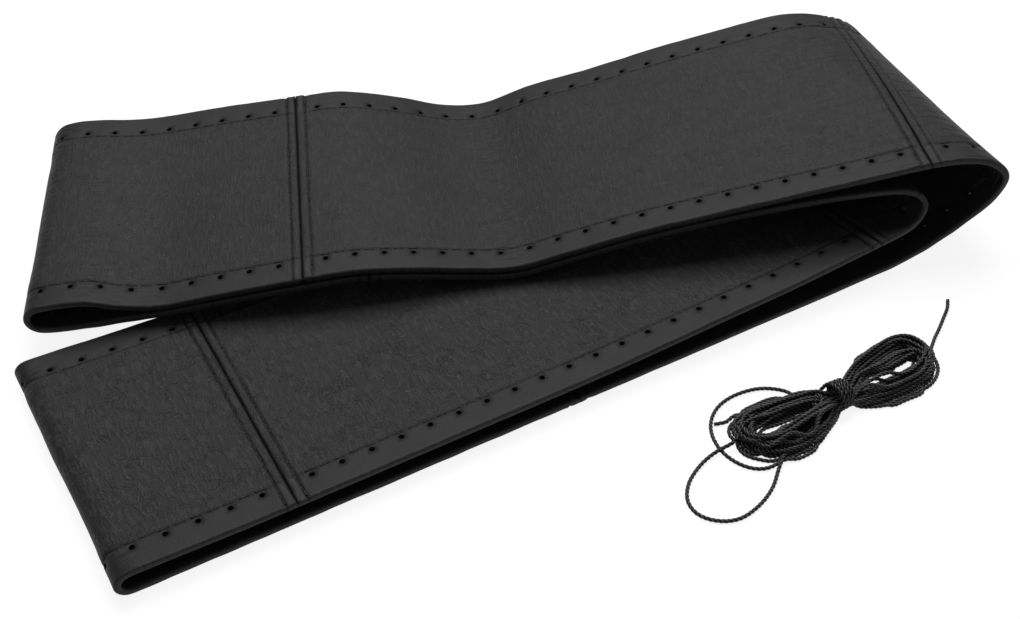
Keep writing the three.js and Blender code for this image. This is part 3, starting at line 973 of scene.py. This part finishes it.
    def stitch_lines(self, along: np.ndarray, across: np.ndarray) -> tuple[np.ndarray, np.ndarray]:
        """How near flat places lie to a line of topstitching.

        Args:
            along: Places along the panel.
            across: Places across it.

        Returns:
            The distance to the hem's line and to the seam's line, in mm.
        """
        inset, end = self.margins(along, across)
        seed = 100 * (self.index + 1)
        astray = soft_noise(along, across, (12.0, 300.0), seed)
        seam_astray = soft_noise(across, along, (9.0, 300.0), seed + 1)
        hem = inset + self.shape.hem_wander * astray - self.hem_stitch
        seam = end + self.shape.seam_wander * seam_astray - self.seam_stitch
        return hem, seam

    def relief(self, along: np.ndarray, across: np.ndarray) -> np.ndarray:
        """How far the outer face stands proud of the smooth band, in mm, at flat places."""
        shape, seed = self.shape, 100 * (self.index + 1)
        inset, end = self.margins(along, across)

        def bell(value: np.ndarray, sizes: Sequence[float]) -> np.ndarray:
            """A bump at a value, with its reach and its height."""
            return bump_at(value, sizes[0], sizes[1]) * sizes[2]

        def groove(away: np.ndarray, sizes: Sequence[float], beat: np.ndarray) -> np.ndarray:
            """A groove with a reach, a depth and what each stitch adds to that."""
            return bump_at(away, 0.0, sizes[0]) * (sizes[1] + sizes[2] * beat)

        beat = 0.5 + 0.5 * np.cos(2 * np.pi * (along / self.stitch_pitch - 0.1))
        cross_beat = 0.5 + 0.5 * np.cos(2 * np.pi * across / self.stitch_pitch)
        hem_line, seam_line = self.stitch_lines(along, across)
        sunk = groove(hem_line, shape.hem_groove, beat) * smooth_step(0.4, 1.4, end)
        sunk += groove(seam_line, shape.seam_groove, cross_beat)
        sunk += bell(end, shape.seam_dent) * smooth_step(0.0, 14.0, inset)
        sunk += bell(inset, shape.puckers) * beat
        for x, y in self.hole_places():
            near = (abs(along - x) < 4.5) & (abs(across - y) < 4.5)
            away = np.hypot(along[near] - x, across[near] - y)
            sunk[near] += shape.dimple_depth * np.exp(-((away / shape.dimple_reach) ** 2))

        raised = np.sin(np.pi * np.clip(end / self.seam_stitch, 0, 1)) * shape.roll_height
        raised *= 1.0 + 0.6 * soft_noise(across, along, (4.5, 300.0), seed + 3)
        crossing = smooth_step(12.0, 6.0, inset) * smooth_step(7.0, 3.5, end)
        ripple = soft_noise(along, across, (1.3, 2.6), seed + 2) * smooth_step(9.0, 4.0, end)
        raised += ripple * (shape.ripple_height + shape.crossing_height * crossing)
        raised += bell(inset, shape.pillow) * (1 - beat * 0.5)
        waves = soft_noise(along, across, (5.2, 6.0), seed + 7) * smooth_step(9.4, 4.0, inset)
        raised += waves * shape.hem_wave_height
        slow = soft_noise(along, across, (34.0, 30.0), seed + 4) * shape.slow_height
        lumps = soft_noise(along, across, (9.0, 11.0), seed + 5) * shape.lump_height
        raised += (slow + lumps) * smooth_step(9.5, 16.0, inset) * smooth_step(4.5, 12.0, end)
        raised += soft_noise(along, across, (2.6, 2.4), seed + 6) * shape.fine_height
        return raised - sunk

    def _lay_down(self, mesh: bpy.types.Mesh, flat: np.ndarray) -> None:
        """Moves a mesh's vertices from places on the flat panel to where these come to lie."""
        placed = self.lay.place(self.start + flat[:, 0], flat[:, 1], -flat[:, 2])
        mesh.vertices.foreach_set("co", placed.astype(np.float32).ravel())
        mesh.update()

    def build(self, finishes: Finishes) -> bpy.types.Object:
        """Makes the panel, lays it and puts it in the scene.

        Args:
            finishes: The cover's materials.

        Returns:
            The panel's object.
        """
        mesh = mesh_of(self.flat_mesh(), f"leather_panel_{self.index + 1}")
        flat = read_vectors(mesh.vertices, "co")
        self._mark(mesh, flat)
        outer = 1.0 - smooth_step(0.25, 0.8, -flat[:, 2])
        flat[:, 2] += self.relief(flat[:, 0], flat[:, 1]) * outer
        self._lay_down(mesh, flat)
        piece = add_piece(mesh, [finishes.leather, finishes.flesh])
        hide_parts(f"panel_{self.index + 1}")
        return piece

    def _mark(self, mesh: bpy.types.Mesh, flat: np.ndarray) -> None:
        """Writes the flat UV map, the masks for the materials, and which faces are the flesh side.

        Args:
            mesh: The panel's mesh, still flat.
            flat: Its vertices, in mm.
        """
        along, across = flat[:, 0], flat[:, 1]
        inset, end = self.margins(along, across)
        ring = self.start + along
        corners = np.empty(len(mesh.loops), np.int32)
        mesh.loops.foreach_get("vertex_index", corners)
        uv = np.stack([ring, across], axis=1)[corners] * MM
        mesh.uv_layers.new(name="flat").data.foreach_set("uv", uv.astype(np.float32).ravel())

        # edge wear with a painted rim highlight, along the turned edges and beside the seams
        edge = bump_at(inset, 0.0, 0.6)
        edge += 0.5 * bump_at(end, 1.6, 0.8) * smooth_step(10.5, 8.5, inset)
        curved = np.abs(self.lay.turning(ring, across))
        sharp = smooth_step(0.08, 0.2, curved)
        bent = 0.04 + 0.8 * smooth_step(0.01, 0.045, curved) * (1.0 - 0.75 * sharp)
        bent += 0.4 * bump_at(ring, self.length, 0.22 * self.length)
        hem_line, seam_line = self.stitch_lines(along, across)
        # painted shade: the colour is darkened along the stitched grooves, in the seams' middle
        # groove at the panel's ends and round the lacing holes
        groove_shade = bump_at(hem_line, 0.0, 0.28) + 1.1 * bump_at(seam_line, 0.0, 0.3)
        groove_shade += 0.95 * smooth_step(1.05, 0.3, end)
        for x, y in self.hole_places():
            groove_shade += 0.8 * smooth_step(1.5, 0.95, np.hypot(along - x, across - y))
        first, last = (at * self.length for at in self.lower_arm)
        grain = np.where((ring > first) & (ring < last), 1.0, self.upper_grain)
        grain = grain * smooth_step(6.0, 14.0, inset) + 0.12
        for key, value in (("edge", edge), ("bent", bent), ("grain", grain), ("groove_shade", groove_shade)):
            layer = mesh.attributes.new(key, "FLOAT", "POINT")
            layer.data.foreach_set("value", np.clip(value, 0.0, 1.0).astype(np.float32))

        normal = read_vectors(mesh.polygons, "normal")
        centre = read_vectors(mesh.polygons, "center")
        flesh = (normal[:, 2] < -0.3) & (centre[:, 2] > -1.6 * self.leather)
        mesh.polygons.foreach_set("material_index", flesh.astype(np.int32))

    def stitches(self, finishes: Finishes) -> bpy.types.Object:
        """Makes the panel's topstitching, one short bar of thread for each stitch."""
        pitch, width = self.stitch_pitch, self.lay.width
        lines = []
        for inset in (self.hem_stitch, width - self.hem_stitch):
            for i in range(int(self.length / pitch)):
                along = (i + 0.6) * pitch
                if self.seam_stitch < along < self.length - self.seam_stitch:
                    lines.append((along, inset, 0.0))
        for along in (self.seam_stitch, self.length - self.seam_stitch):
            for i in range(int(width / pitch)):
                lines.append((along, (i + 0.6) * pitch, math.pi / 2))
        bm = bmesh.new()
        random = np.random.default_rng(40 + self.index)
        long, wide, high = self.stitch_size
        offset, most_turn = self.stitch_offset, self.stitch_turn
        for along, across, turn in lines:
            place = Vector((along, across + random.uniform(-offset, offset), -self.stitch_sink))
            matrix = (
                Matrix.Translation(place)
                @ Matrix.Rotation(turn + random.uniform(-most_turn, most_turn), 4, "Z")
                @ Matrix.Diagonal((long * pitch, wide, high, 1.0))
                @ Matrix.Rotation(math.pi / 2, 4, "Y")
            )
            bmesh.ops.create_uvsphere(bm, u_segments=6, v_segments=4, radius=1.0, matrix=matrix)
        mesh = mesh_of(bm, f"topstitching_{self.index + 1}")
        self._lay_down(mesh, read_vectors(mesh.vertices, "co"))
        return add_piece(mesh, [finishes.stitch])


@dataclass
class LacingThread:
    """The lacing thread: one length wound in a hank with a wrapped waist, and its loose stretches.

    Sizes are in mm. Places in the hank are along it, across it and above the floor, from its waist.
    A turn goes from the waist round the tip of each lobe. Once all turns are laid, they sink on to
    each other and to the floor, and are pushed apart, but many still cut into each other.
    """

    diameter: float = 1.2
    waist: tuple[float, float] = (94.6, 306.4)
    angle: float = 27.0
    turns: int = 22
    half_width: float = 8.0
    least_round: float = 3.7
    tip: float = 34.6
    tip_spread: float = 4.4
    # of the left lobe and the right one
    lobe_widths: tuple[float, float] = (1.08, 0.97)
    lobe_reaches: tuple[float, float] = (1.0, 1.03)
    lobe_leans: tuple[float, float] = (0.0, 0.13)
    # where the runs part, as from and to along, across at both ends, and how far they keep apart
    partings: Places = ((-28.0, -4.6, -2.9, 1.2, 0.85), (4.6, 17.0, 2.55, 4.6, 0.55))
    # how far along the runs of the left lobe and the right one are laid on their own side
    parted_reaches: tuple[float, float] = (25.0, 15.0)
    parted_from: float = 6.0
    parted_sides: tuple[float, float] = (0.6, 1.6)
    # how wide open the turns run at each place along, as a share of the lobe
    opening: Places = ((2.6, 0.36), (8.0, 0.66), (14.0, 0.88), (20.0, 0.98))
    # how the turns vary: by how much of a lobe's sizes and reaches a turn moves on, and a lobe
    size_steps: tuple[float, float] = (0.618, 0.37)
    reach_steps: tuple[float, float] = (0.382, 0.21)
    layer_rise: float = 0.42
    waist_half: tuple[float, float] = (3.7, 3.1)
    waist_height: float = 4.45
    waist_reach: float = 2.6
    spread_reach: float = 13.0
    spreading: float = 0.5
    wrap_half: tuple[float, float] = (4.5, 3.85)
    wraps: int = 4
    per_wrap: int = 10
    lies: float = 0.62
    step: float = 0.9
    rounds: int = 100
    rounding_rounds: int = 40
    # over two and four steps, as shares of the step
    bent_chords: tuple[float, float] = (1.95, 3.7)
    sink: float = 0.07
    # how the thread settles
    pulling: float = 0.35
    straightening: float = 0.5
    parts_after: float = 0.4
    most_push: float = 0.2
    touching: float = 0.965
    least_chord: float = 3.45
    # the mesh: its rings, its three plies and how deep the thread is between them
    mesh_step: float = 0.48
    twist_pitch: float = 4.2
    sides: int = 12
    plies: int = 3
    ply_radii: tuple[float, float] = (0.7, 0.36)
    outer_loop: Places = (
        (80, 311.8), (73, 313.4), (66, 311.6), (60.6, 308), (57.4, 303.4),
        (56.1, 297.6), (57, 292), (59.5, 287.2), (63.4, 283.6), (67, 282.2), (70.4, 282.4),
    )
    open_loop: Places = (
        (61.6, 290.9, 2.4), (57.6, 289.4, 1.2), (53.8, 286.6, 0.9), (50.4, 282.8, 0.65),
        (47.4, 277.3, 0.65), (46.6, 271.2, 0.65), (49, 266.5, 0.65), (54.2, 264.1, 0.65),
        (59.9, 264.6, 0.65), (66, 269.2, 0.65), (70.5, 275.4, 0.65), (72.8, 281.0, 1.2),
    )
    tail: Places = (
        (136, 348.6), (135, 345), (132.7, 340.4), (130.2, 335.6),
        (128.2, 332.1), (126.6, 328.8), (124.9, 325.1),
    )
    end: Places = ((57.3, 299.7),)
    # places in the hank
    lead: Places = (
        (30.5, -1.2, 0.62), (25.0, -4.4, 0.62), (17.0, -5.6, 0.62), (9.0, -4.2, 0.62),
        (2.6, -2.0, 1.6),
    )
    into_wraps: Places = (
        (0.0, 0.2, 7.2), (2.8, 0.1, 8.3), (5.0, 0.9, 8.8), (6.0, 3.0, 8.2), (5.4, 4.9, 6.6),
        (3.9, 5.3, 4.8),
    )
    leave: Places = (
        (-3.1, 5.0, 3.6), (-4.4, 5.3, 1.9), (-6.4, 5.8, 0.9), (-9.0, 6.9, 0.65),
    )
    between_loops: Places = (
        (-26.0, -10.0, 1.2), (-20.0, -9.2, 3.4), (-14.0, -7.2, 5.4), (-9.0, -4.2, 7.4),
        (-6.2, -0.8, 8.8), (-7.4, 2.6, 8.8), (-11.4, 4.0, 8.8), (-17.0, 3.9, 9.2),
        (-24.0, 3.4, 9.0), (-29.0, 2.7, 7.0), (-33.0, 1.9, 4.4),
    )
    to_end: Places = (
        (-28.2, -10.6, 2.2), (-24.8, -8.8, 4.4), (-19.0, -7.2, 5.8), (-12.5, -5.0, 7.2),
        (-7.2, -2.4, 9.0), (-4.8, 0.8, 9.8), (-6.0, 4.2, 9.4), (-10.0, 6.2, 8.6),
        (-20.0, 6.4, 7.6), (-25.5, 7.2, 5.2), (-29.0, 8.4, 2.4), (-32.4, 9.8, 0.65),
    )

    def _in_lay(self, points: np.ndarray) -> np.ndarray:
        """Places in the hank, in the lay's frame."""
        along, across = heading(self.angle), heading(self.angle + 90.0)
        placed = np.array([*self.waist, 0.0]) + points[:, :1] * along + points[:, 1:2] * across
        placed[:, 2] = points[:, 2]
        return placed

    def _in_hank(self, points: Iterable[Sequence[float]]) -> np.ndarray:
        """Places of the lay's frame in the hank's, on the floor where no height is given."""
        placed = np.array([(*p, self.lies) if len(p) == 2 else p for p in points], float)
        away = placed - np.array([*self.waist, 0.0])
        along, across = heading(self.angle), heading(self.angle + 90.0)
        return np.stack([away @ along, away @ across, placed[:, 2]], axis=1)

    def _parting_at(self, lobe: int, along: float) -> float:
        """How far across the runs of a lobe part, at a place along the hank."""
        start, end, across_start, across_end, _ = self.partings[lobe]
        return across_start + (across_end - across_start) * (along - start) / (end - start)

    def _lobe(self, way: int, turn: int, height: float, side: int) -> list[tuple[float, ...]]:
        """One turn's way round one lobe, from the waist on one side back to it on the other.

        Args:
            way: 1 for the right lobe, -1 for the left one.
            turn: Which turn it is, from the bottom.
            height: How high it is laid, before it settles.
            side: 1 if it goes out on the far side of the hank, -1 if on the near side.

        Returns:
            Places in the hank.
        """
        lobe = (way + 1) // 2
        half = self.half_width * self.lobe_widths[lobe]
        # the turns take all sizes in an even, unordered way, the lowest ones beside each other
        share = (turn * self.size_steps[0] + self.size_steps[1] * lobe) % 1.0
        inwards = self.diameter * turn if turn < 3 else (half - self.least_round) * share
        radius = half - inwards
        off = (half - radius) * math.sin(2.4 * turn + 1.3 * lobe)
        reached = (turn * self.reach_steps[0] + self.reach_steps[1] * lobe) % 1.0
        spread = self.tip_spread * reached
        middle = (self.tip - spread) * self.lobe_reaches[lobe] - radius
        low = min(height, self.waist_height + self.waist_half[1] * 0.76)
        wide = [(x, share) for x, share in self.opening if x < middle - 1.0]
        out = [(x, share, low if x < 3 else height) for x, share in wide]
        points = [(way * x, share * (off + side * radius), z) for x, share, z in out]
        for degrees in (80, 40, 0, -40, -80):
            angle = math.radians(degrees)
            points.append((
                way * (middle + radius * math.cos(angle)),
                off + side * radius * math.sin(angle),
                height,
            ))
        points += [(way * x, share * (off - side * radius), z) for x, share, z in reversed(out)]
        placed = []
        for k, (x, y, z) in enumerate(points):
            y += self.lobe_leans[lobe] * abs(x)
            if self.parted_from < abs(x) < self.parted_reaches[lobe]:
                far = (side > 0) == (k < len(points) / 2)
                parting = self._parting_at(lobe, x)
                above, below = self.parted_sides
                y = max(y, parting + above) if far else min(y, parting - below)
            placed.append((x, y, z))
        return placed

    def _wound(self) -> list[tuple[float, ...]]:
        """All turns of the hank as they are laid, each from the right lobe to the left one."""
        points = self._lobe(-1, 0, self.lies, -1)
        for turn in range(self.turns):
            height = self.lies + self.diameter + self.layer_rise * turn
            points += self._lobe(1, turn, height, 1)
            points += self._lobe(-1, turn + 1, height, -1)
        return points

    def _wraps(self) -> list[tuple[float, ...]]:
        """The wraps round the waist, one beside the other."""
        points = []
        wide, high = self.wrap_half
        for i in range(3, self.per_wrap * self.wraps + 3):
            turn = 2 * math.pi * i / self.per_wrap
            along = 2.3 - 1.22 * (i - 2) / self.per_wrap
            points.append((along, wide * math.sin(turn), self.waist_height + high * math.cos(turn)))
        return points

    def _laid(self) -> tuple[np.ndarray, np.ndarray]:
        """The thread's whole route before it settles.

        Returns:
            Points an even step apart, as places in the hank, and which of them may settle.
        """
        parts = (
            (False, self._in_hank(self.tail)),
            (True, self.lead),
            (True, self._wound()),
            (True, self.into_wraps),
            (False, self._wraps()),
            (False, self.leave),
            (False, self._in_hank(self.outer_loop)),
            (True, self.between_loops),
            (False, self._in_hank(self.open_loop)),
            (True, self.to_end),
            (False, self._in_hank(self.end)),
        )
        samples = 16
        fine = smooth_line(np.vstack([np.array(points, float) for _, points in parts]), samples)
        loose = np.concatenate([np.full(len(points), settles) for settles, points in parts])
        loose = np.append(np.repeat(loose[:-1] & loose[1:], samples), False).astype(float)
        line = even_line(np.column_stack([fine, loose]), self.step)
        return line[:, :3].copy(), line[:, 3] > 0.5

    def _neighbours(self, line: np.ndarray, apart: int, reach: float) -> np.ndarray:
        """Pairs of points that are close to each other, but not neighbours on the thread."""
        order = np.argsort(line[:, 0], kind="stable")
        along = line[order, 0]
        found = []
        chunk = 300
        for first in range(0, len(line), chunk):
            some = order[first:first + chunk]
            last = np.searchsorted(along, along[min(first + chunk, len(line)) - 1] + reach)
            others = order[first:last]
            away = ((line[some, None] - line[None, others]) ** 2).sum(2)
            i, j = np.nonzero(away < reach**2)
            pair = np.sort(np.stack([some[i], others[j]], axis=1), axis=1)
            found.append(pair[pair[:, 1] - pair[:, 0] > apart])
        return np.unique(np.vstack(found), axis=0)

    def _settle(self, line: np.ndarray, loose: np.ndarray) -> np.ndarray:
        """Lets the thread sink, while its stretches push each other apart and it holds its length.

        Args:
            line: Points an even step apart.
            loose: Which of them may move.

        Returns:
            The line, settled.
        """
        gap = self.touching * self.diameter
        rest = float(np.linalg.norm(np.diff(line, axis=0), axis=1).mean())
        apart = math.ceil(3.5 * self.diameter / rest)
        for turn in range(self.rounds):
            line[loose, 2] -= self.sink
            if turn % 6 == 0:
                pairs = self._neighbours(line, apart, gap + 0.8)
            for _ in range(2):
                move = self._pushed_apart(line, pairs, gap)
                way = np.diff(line, axis=0)
                away = np.linalg.norm(way, axis=1)
                pull = way / away[:, None] * ((away - rest) * self.pulling)[:, None]
                move[:-1] += pull
                move[1:] -= pull
                line[loose] += move[loose]
                line[loose] += self.straightening * self._straightened(line)[loose]
                self._hold(line, loose, turn > self.parts_after * self.rounds)
        return self._rounded(line, rest)

    def _rounded(self, line: np.ndarray, step: float) -> np.ndarray:
        """The same line with its tight bends opened, which makes it a little shorter.

        Args:
            line: Points an even step apart.
            step: How far apart they are.

        Returns:
            The line, with points the same step apart.
        """
        near, far = (share * step for share in self.bent_chords)
        for turn in range(self.rounding_rounds):
            if turn % 2 == 0:
                line = even_line(line, step)
            ease = np.zeros_like(line)
            ease[1:-1] = line[:-2] + line[2:] - 2 * line[1:-1]
            tight = np.zeros(len(line))
            tight[2:-2] = np.linalg.norm(line[4:] - line[:-4], axis=1) < far
            tight[1:-1] += np.linalg.norm(line[2:] - line[:-2], axis=1) < near
            tight = np.convolve(np.minimum(tight, 1.0), np.ones(5) / 3, mode="same")
            line = line + 0.4 * ease * np.minimum(tight, 1.0)[:, None]
        return line

    @staticmethod
    def _pushed_apart(line: np.ndarray, pairs: np.ndarray, gap: float) -> np.ndarray:
        """How far each point is pushed by those of other stretches that it would cut into."""
        i, j = pairs[:, 0], pairs[:, 1]
        way = line[j] - line[i]
        away = np.linalg.norm(way, axis=1)
        close = away < gap
        i, j, way, away = i[close], j[close], way[close], np.maximum(away[close], 1e-6)
        push = way / away[:, None] * ((gap - away) * 0.5)[:, None]
        move, hits = np.zeros_like(line), np.zeros(len(line))
        for index, amount in ((j, push), (i, -push)):
            np.add.at(move, index, amount)
            np.add.at(hits, index, 1)
        return 1.2 * move / np.maximum(hits, 1)[:, None]

    def _straightened(self, line: np.ndarray) -> np.ndarray:
        """How far each point moves because the thread doesn't like to bend."""
        move = np.zeros_like(line)
        move[2:-2] = (line[1:-3] + line[3:-1]) * 4 / 6 - (line[:-4] + line[4:]) / 6 - line[2:-2]
        way = line[4:] - line[:-4]
        away = np.linalg.norm(way, axis=1)
        wider = way / away[:, None] * (np.maximum(self.least_chord - away, 0.0) * 0.5)[:, None]
        move[4:] += wider
        move[:-4] -= wider
        return move

    def _hold(self, line: np.ndarray, loose: np.ndarray, parted: bool) -> None:
        """Keeps the thread above the floor and within the wraps, and its runs parted.

        Args:
            line: The thread's points, which are changed.
            loose: Which of them may move.
            parted: True once the runs of each lobe are kept apart.
        """
        along = np.abs(line[:, 0])
        wide, high = self.waist_half
        inside = loose & (along < self.waist_reach)
        y, z = line[inside, 1] / wide, (line[inside, 2] - self.waist_height) / high
        out = np.maximum(np.hypot(y, z), 1.0)
        line[inside, 1] = y / out * wide
        line[inside, 2] = z / out * high + self.waist_height
        near = loose & (along >= self.waist_reach) & (along < self.spread_reach)
        most = wide + self.spreading * (along[near] - self.waist_reach)
        line[near, 1] = np.clip(line[near, 1], -most, most)
        for start, end, across_start, across_end, clear in self.partings if parted else ():
            part = (line[:, 0] - start) / (end - start)
            span = loose & (part > 0.0) & (part < 1.0)
            across = across_start + (across_end - across_start) * part[span]
            aside = (line[span, 1] + line[span, 2] - across - self.lies) / math.sqrt(2)
            least = clear * np.sqrt(np.sin(np.pi * part[span]))
            push = np.where(
                aside >= 0, np.maximum(least - aside, 0.0), -np.maximum(least + aside, 0.0)
            )
            push = np.clip(push / math.sqrt(2), -self.most_push, self.most_push)
            line[span, 1] += push
            line[span, 2] += push
        line[:, 2] = np.maximum(line[:, 2], self.lies)

    def route(self) -> np.ndarray:
        """The thread's whole route as it lies, from the end of its tail, in the lay's frame."""
        return self._in_lay(self._settle(*self._laid()))

    def build(self, finishes: Finishes) -> bpy.types.Object:
        line = even_line(smooth_line(self.route(), 4), self.mesh_step)
        line[:, 2] = np.maximum(line[:, 2], 0.5 * self.diameter)
        ways = np.gradient(line, axis=0)
        ways /= np.linalg.norm(ways, axis=1)[:, None]
        side = np.cross(ways[0], (0.0, 0.0, 1.0))
        sides = np.empty_like(line)
        for i, way in enumerate(ways):
            side = side - way * side.dot(way)
            side /= np.linalg.norm(side)
            sides[i] = side
        ups = np.cross(ways, sides)
        count = len(line)
        bm = bmesh.new()
        bmesh.ops.create_grid(bm, x_segments=count - 1, y_segments=self.sides, size=0.5)
        i = np.array([round((v.co.x + 0.5) * (count - 1)) for v in bm.verts])
        j = np.array([round((v.co.y + 0.5) * self.sides) for v in bm.verts])
        angle = 2 * np.pi * (j % self.sides) / self.sides
        ply = 0.5 + 0.5 * np.cos(self.plies * angle)
        low, rise = self.ply_radii
        radius = 0.5 * self.diameter * (low + rise * np.sqrt(ply))
        turn = angle + 2 * np.pi * i * self.mesh_step / self.twist_pitch
        ring = (
            line[i]
            + sides[i] * (radius * np.cos(turn))[:, None]
            + ups[i] * (radius * np.sin(turn))[:, None]
        )
        # the crests of the plies, which the thread's material paints a highlight on
        crest = bm.verts.layers.float.new("ply")
        for vert, co, raised in zip(bm.verts, (ring + TO_MODEL) * MM, ply):
            vert.co = co
            vert[crest] = raised
        bmesh.ops.remove_doubles(bm, verts=bm.verts[:], dist=1e-6)
        open_edges = [e for e in bm.edges if e.is_boundary]
        bmesh.ops.holes_fill(bm, edges=open_edges, sides=0)
        bmesh.ops.recalc_face_normals(bm, faces=bm.faces[:])
        piece = add_piece(mesh_of(bm, "lacing_thread"), [finishes.lacing])
        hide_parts("thread_hank", "thread_outer_loop", "thread_open_loop", "thread_tail")
        return piece


@dataclass
class Studio:
    """The floor, the light and the camera."""

    camera_height: float = 321.7
    pitch: float = 42.38
    roll: float = 2.16
    focal_pixels: float = 1526.0
    image_width: float = 1020.0
    sensor: float = 36.0
    world_light: float = 0.18
    floor_size: float = 6.0
    floor_shade: float = 0.2
    floor_glow: float = 0.88
    lamp_place: tuple[float, float, float] = (0.02, 0.6, 1.0)
    lamp_size: tuple[float, float] = (1.1, 0.8)
    lamp_watts: float = 13.0

    def floor(self) -> None:
        """A plain white floor that keeps the object's shadow."""
        bm = bmesh.new()
        bmesh.ops.create_grid(bm, x_segments=1, y_segments=1, size=self.floor_size / 2)
        obj = link_object("floor", mesh_of(bm, "floor"))
        material, tree = new_material("white_floor")
        rays = tree.add("LightPath")
        seen = tree.math(
            "ADD",
            tree.math("ADD", rays.outputs["Is Camera Ray"], rays.outputs["Is Glossy Ray"]),
            rays.outputs["Is Transmission Ray"],
            clamp=True,
        )
        matt = tree.add("BsdfDiffuse", {"Color": (*[self.floor_shade] * 3, 1.0)})
        glow = tree.add("Emission", {"Strength": tree.math("MULTIPLY", seen, self.floor_glow)})
        both = tree.add("AddShader", {0: matt.outputs[0], 1: glow.outputs[0]})
        tree.add("OutputMaterial", {"Surface": both.outputs[0]})
        obj.data.materials.append(material)

    def light(self) -> None:
        """A soft even light all round, and one soft lamp above and behind the cover."""
        world = bpy.data.worlds.new("studio")
        bpy.context.scene.world = world
        world.use_nodes = True
        tree = NodeTree(world.node_tree)
        rays = tree.add("LightPath")
        seen = tree.math(
            "MAXIMUM", rays.outputs["Is Camera Ray"], rays.outputs["Is Transmission Ray"]
        )
        extra = tree.math("MULTIPLY", seen, 1.0 - self.world_light)
        strength = tree.math("ADD", self.world_light, extra)
        glow = tree.add("Background", {"Color": (1.0, 1.0, 1.0, 1.0), "Strength": strength})
        tree.add("OutputWorld", {"Surface": glow.outputs[0]})
        lamp = bpy.data.lights.new("softbox", "AREA")
        lamp.shape = "RECTANGLE"
        lamp.size, lamp.size_y = self.lamp_size
        lamp.energy = self.lamp_watts
        obj = link_object("softbox", lamp)
        obj.location = self.lamp_place
        obj.rotation_euler = (-Vector(self.lamp_place)).to_track_quat("-Z", "Y").to_euler()

    def camera(self) -> None:
        """The camera at the photograph's angle."""
        e, r = math.radians(self.pitch), math.radians(self.roll)
        up = Vector((0.0, math.sin(e), math.cos(e)))
        back = Vector((0.0, -math.cos(e), math.sin(e)))
        side = Vector((1.0, 0.0, 0.0))
        x = math.cos(r) * side - math.sin(r) * up
        y = math.sin(r) * side + math.cos(r) * up
        turned = Matrix((x, y, back)).transposed().to_4x4()
        data = bpy.data.cameras.new("camera")
        data.sensor_width = self.sensor
        data.lens = self.focal_pixels / self.image_width * self.sensor
        data.clip_start = 0.01
        obj = link_object("camera", data)
        spot = (np.array([0.0, 0.0, self.camera_height]) + TO_MODEL) * MM
        obj.matrix_world = Matrix.Translation(Vector(spot)) @ turned
        bpy.context.scene.camera = obj

    def build(self) -> None:
        """Sets up all of it."""
        self.floor()
        self.light()
        self.camera()
        bpy.context.scene.view_settings.view_transform = "Standard"


def main() -> None:
    """Builds the cover, its thread and the studio, in order."""
    logging.basicConfig(level=logging.INFO, format="%(name)s: %(message)s")
    Studio().build()
    finishes = Finishes()
    LacingThread().build(finishes)
    lay = Lay()
    for index in range(lay.panel_count):
        panel = Panel(index, lay)
        leather = panel.build(finishes)
        stitching = panel.stitches(finishes)


if __name__ == "__main__":
    main()
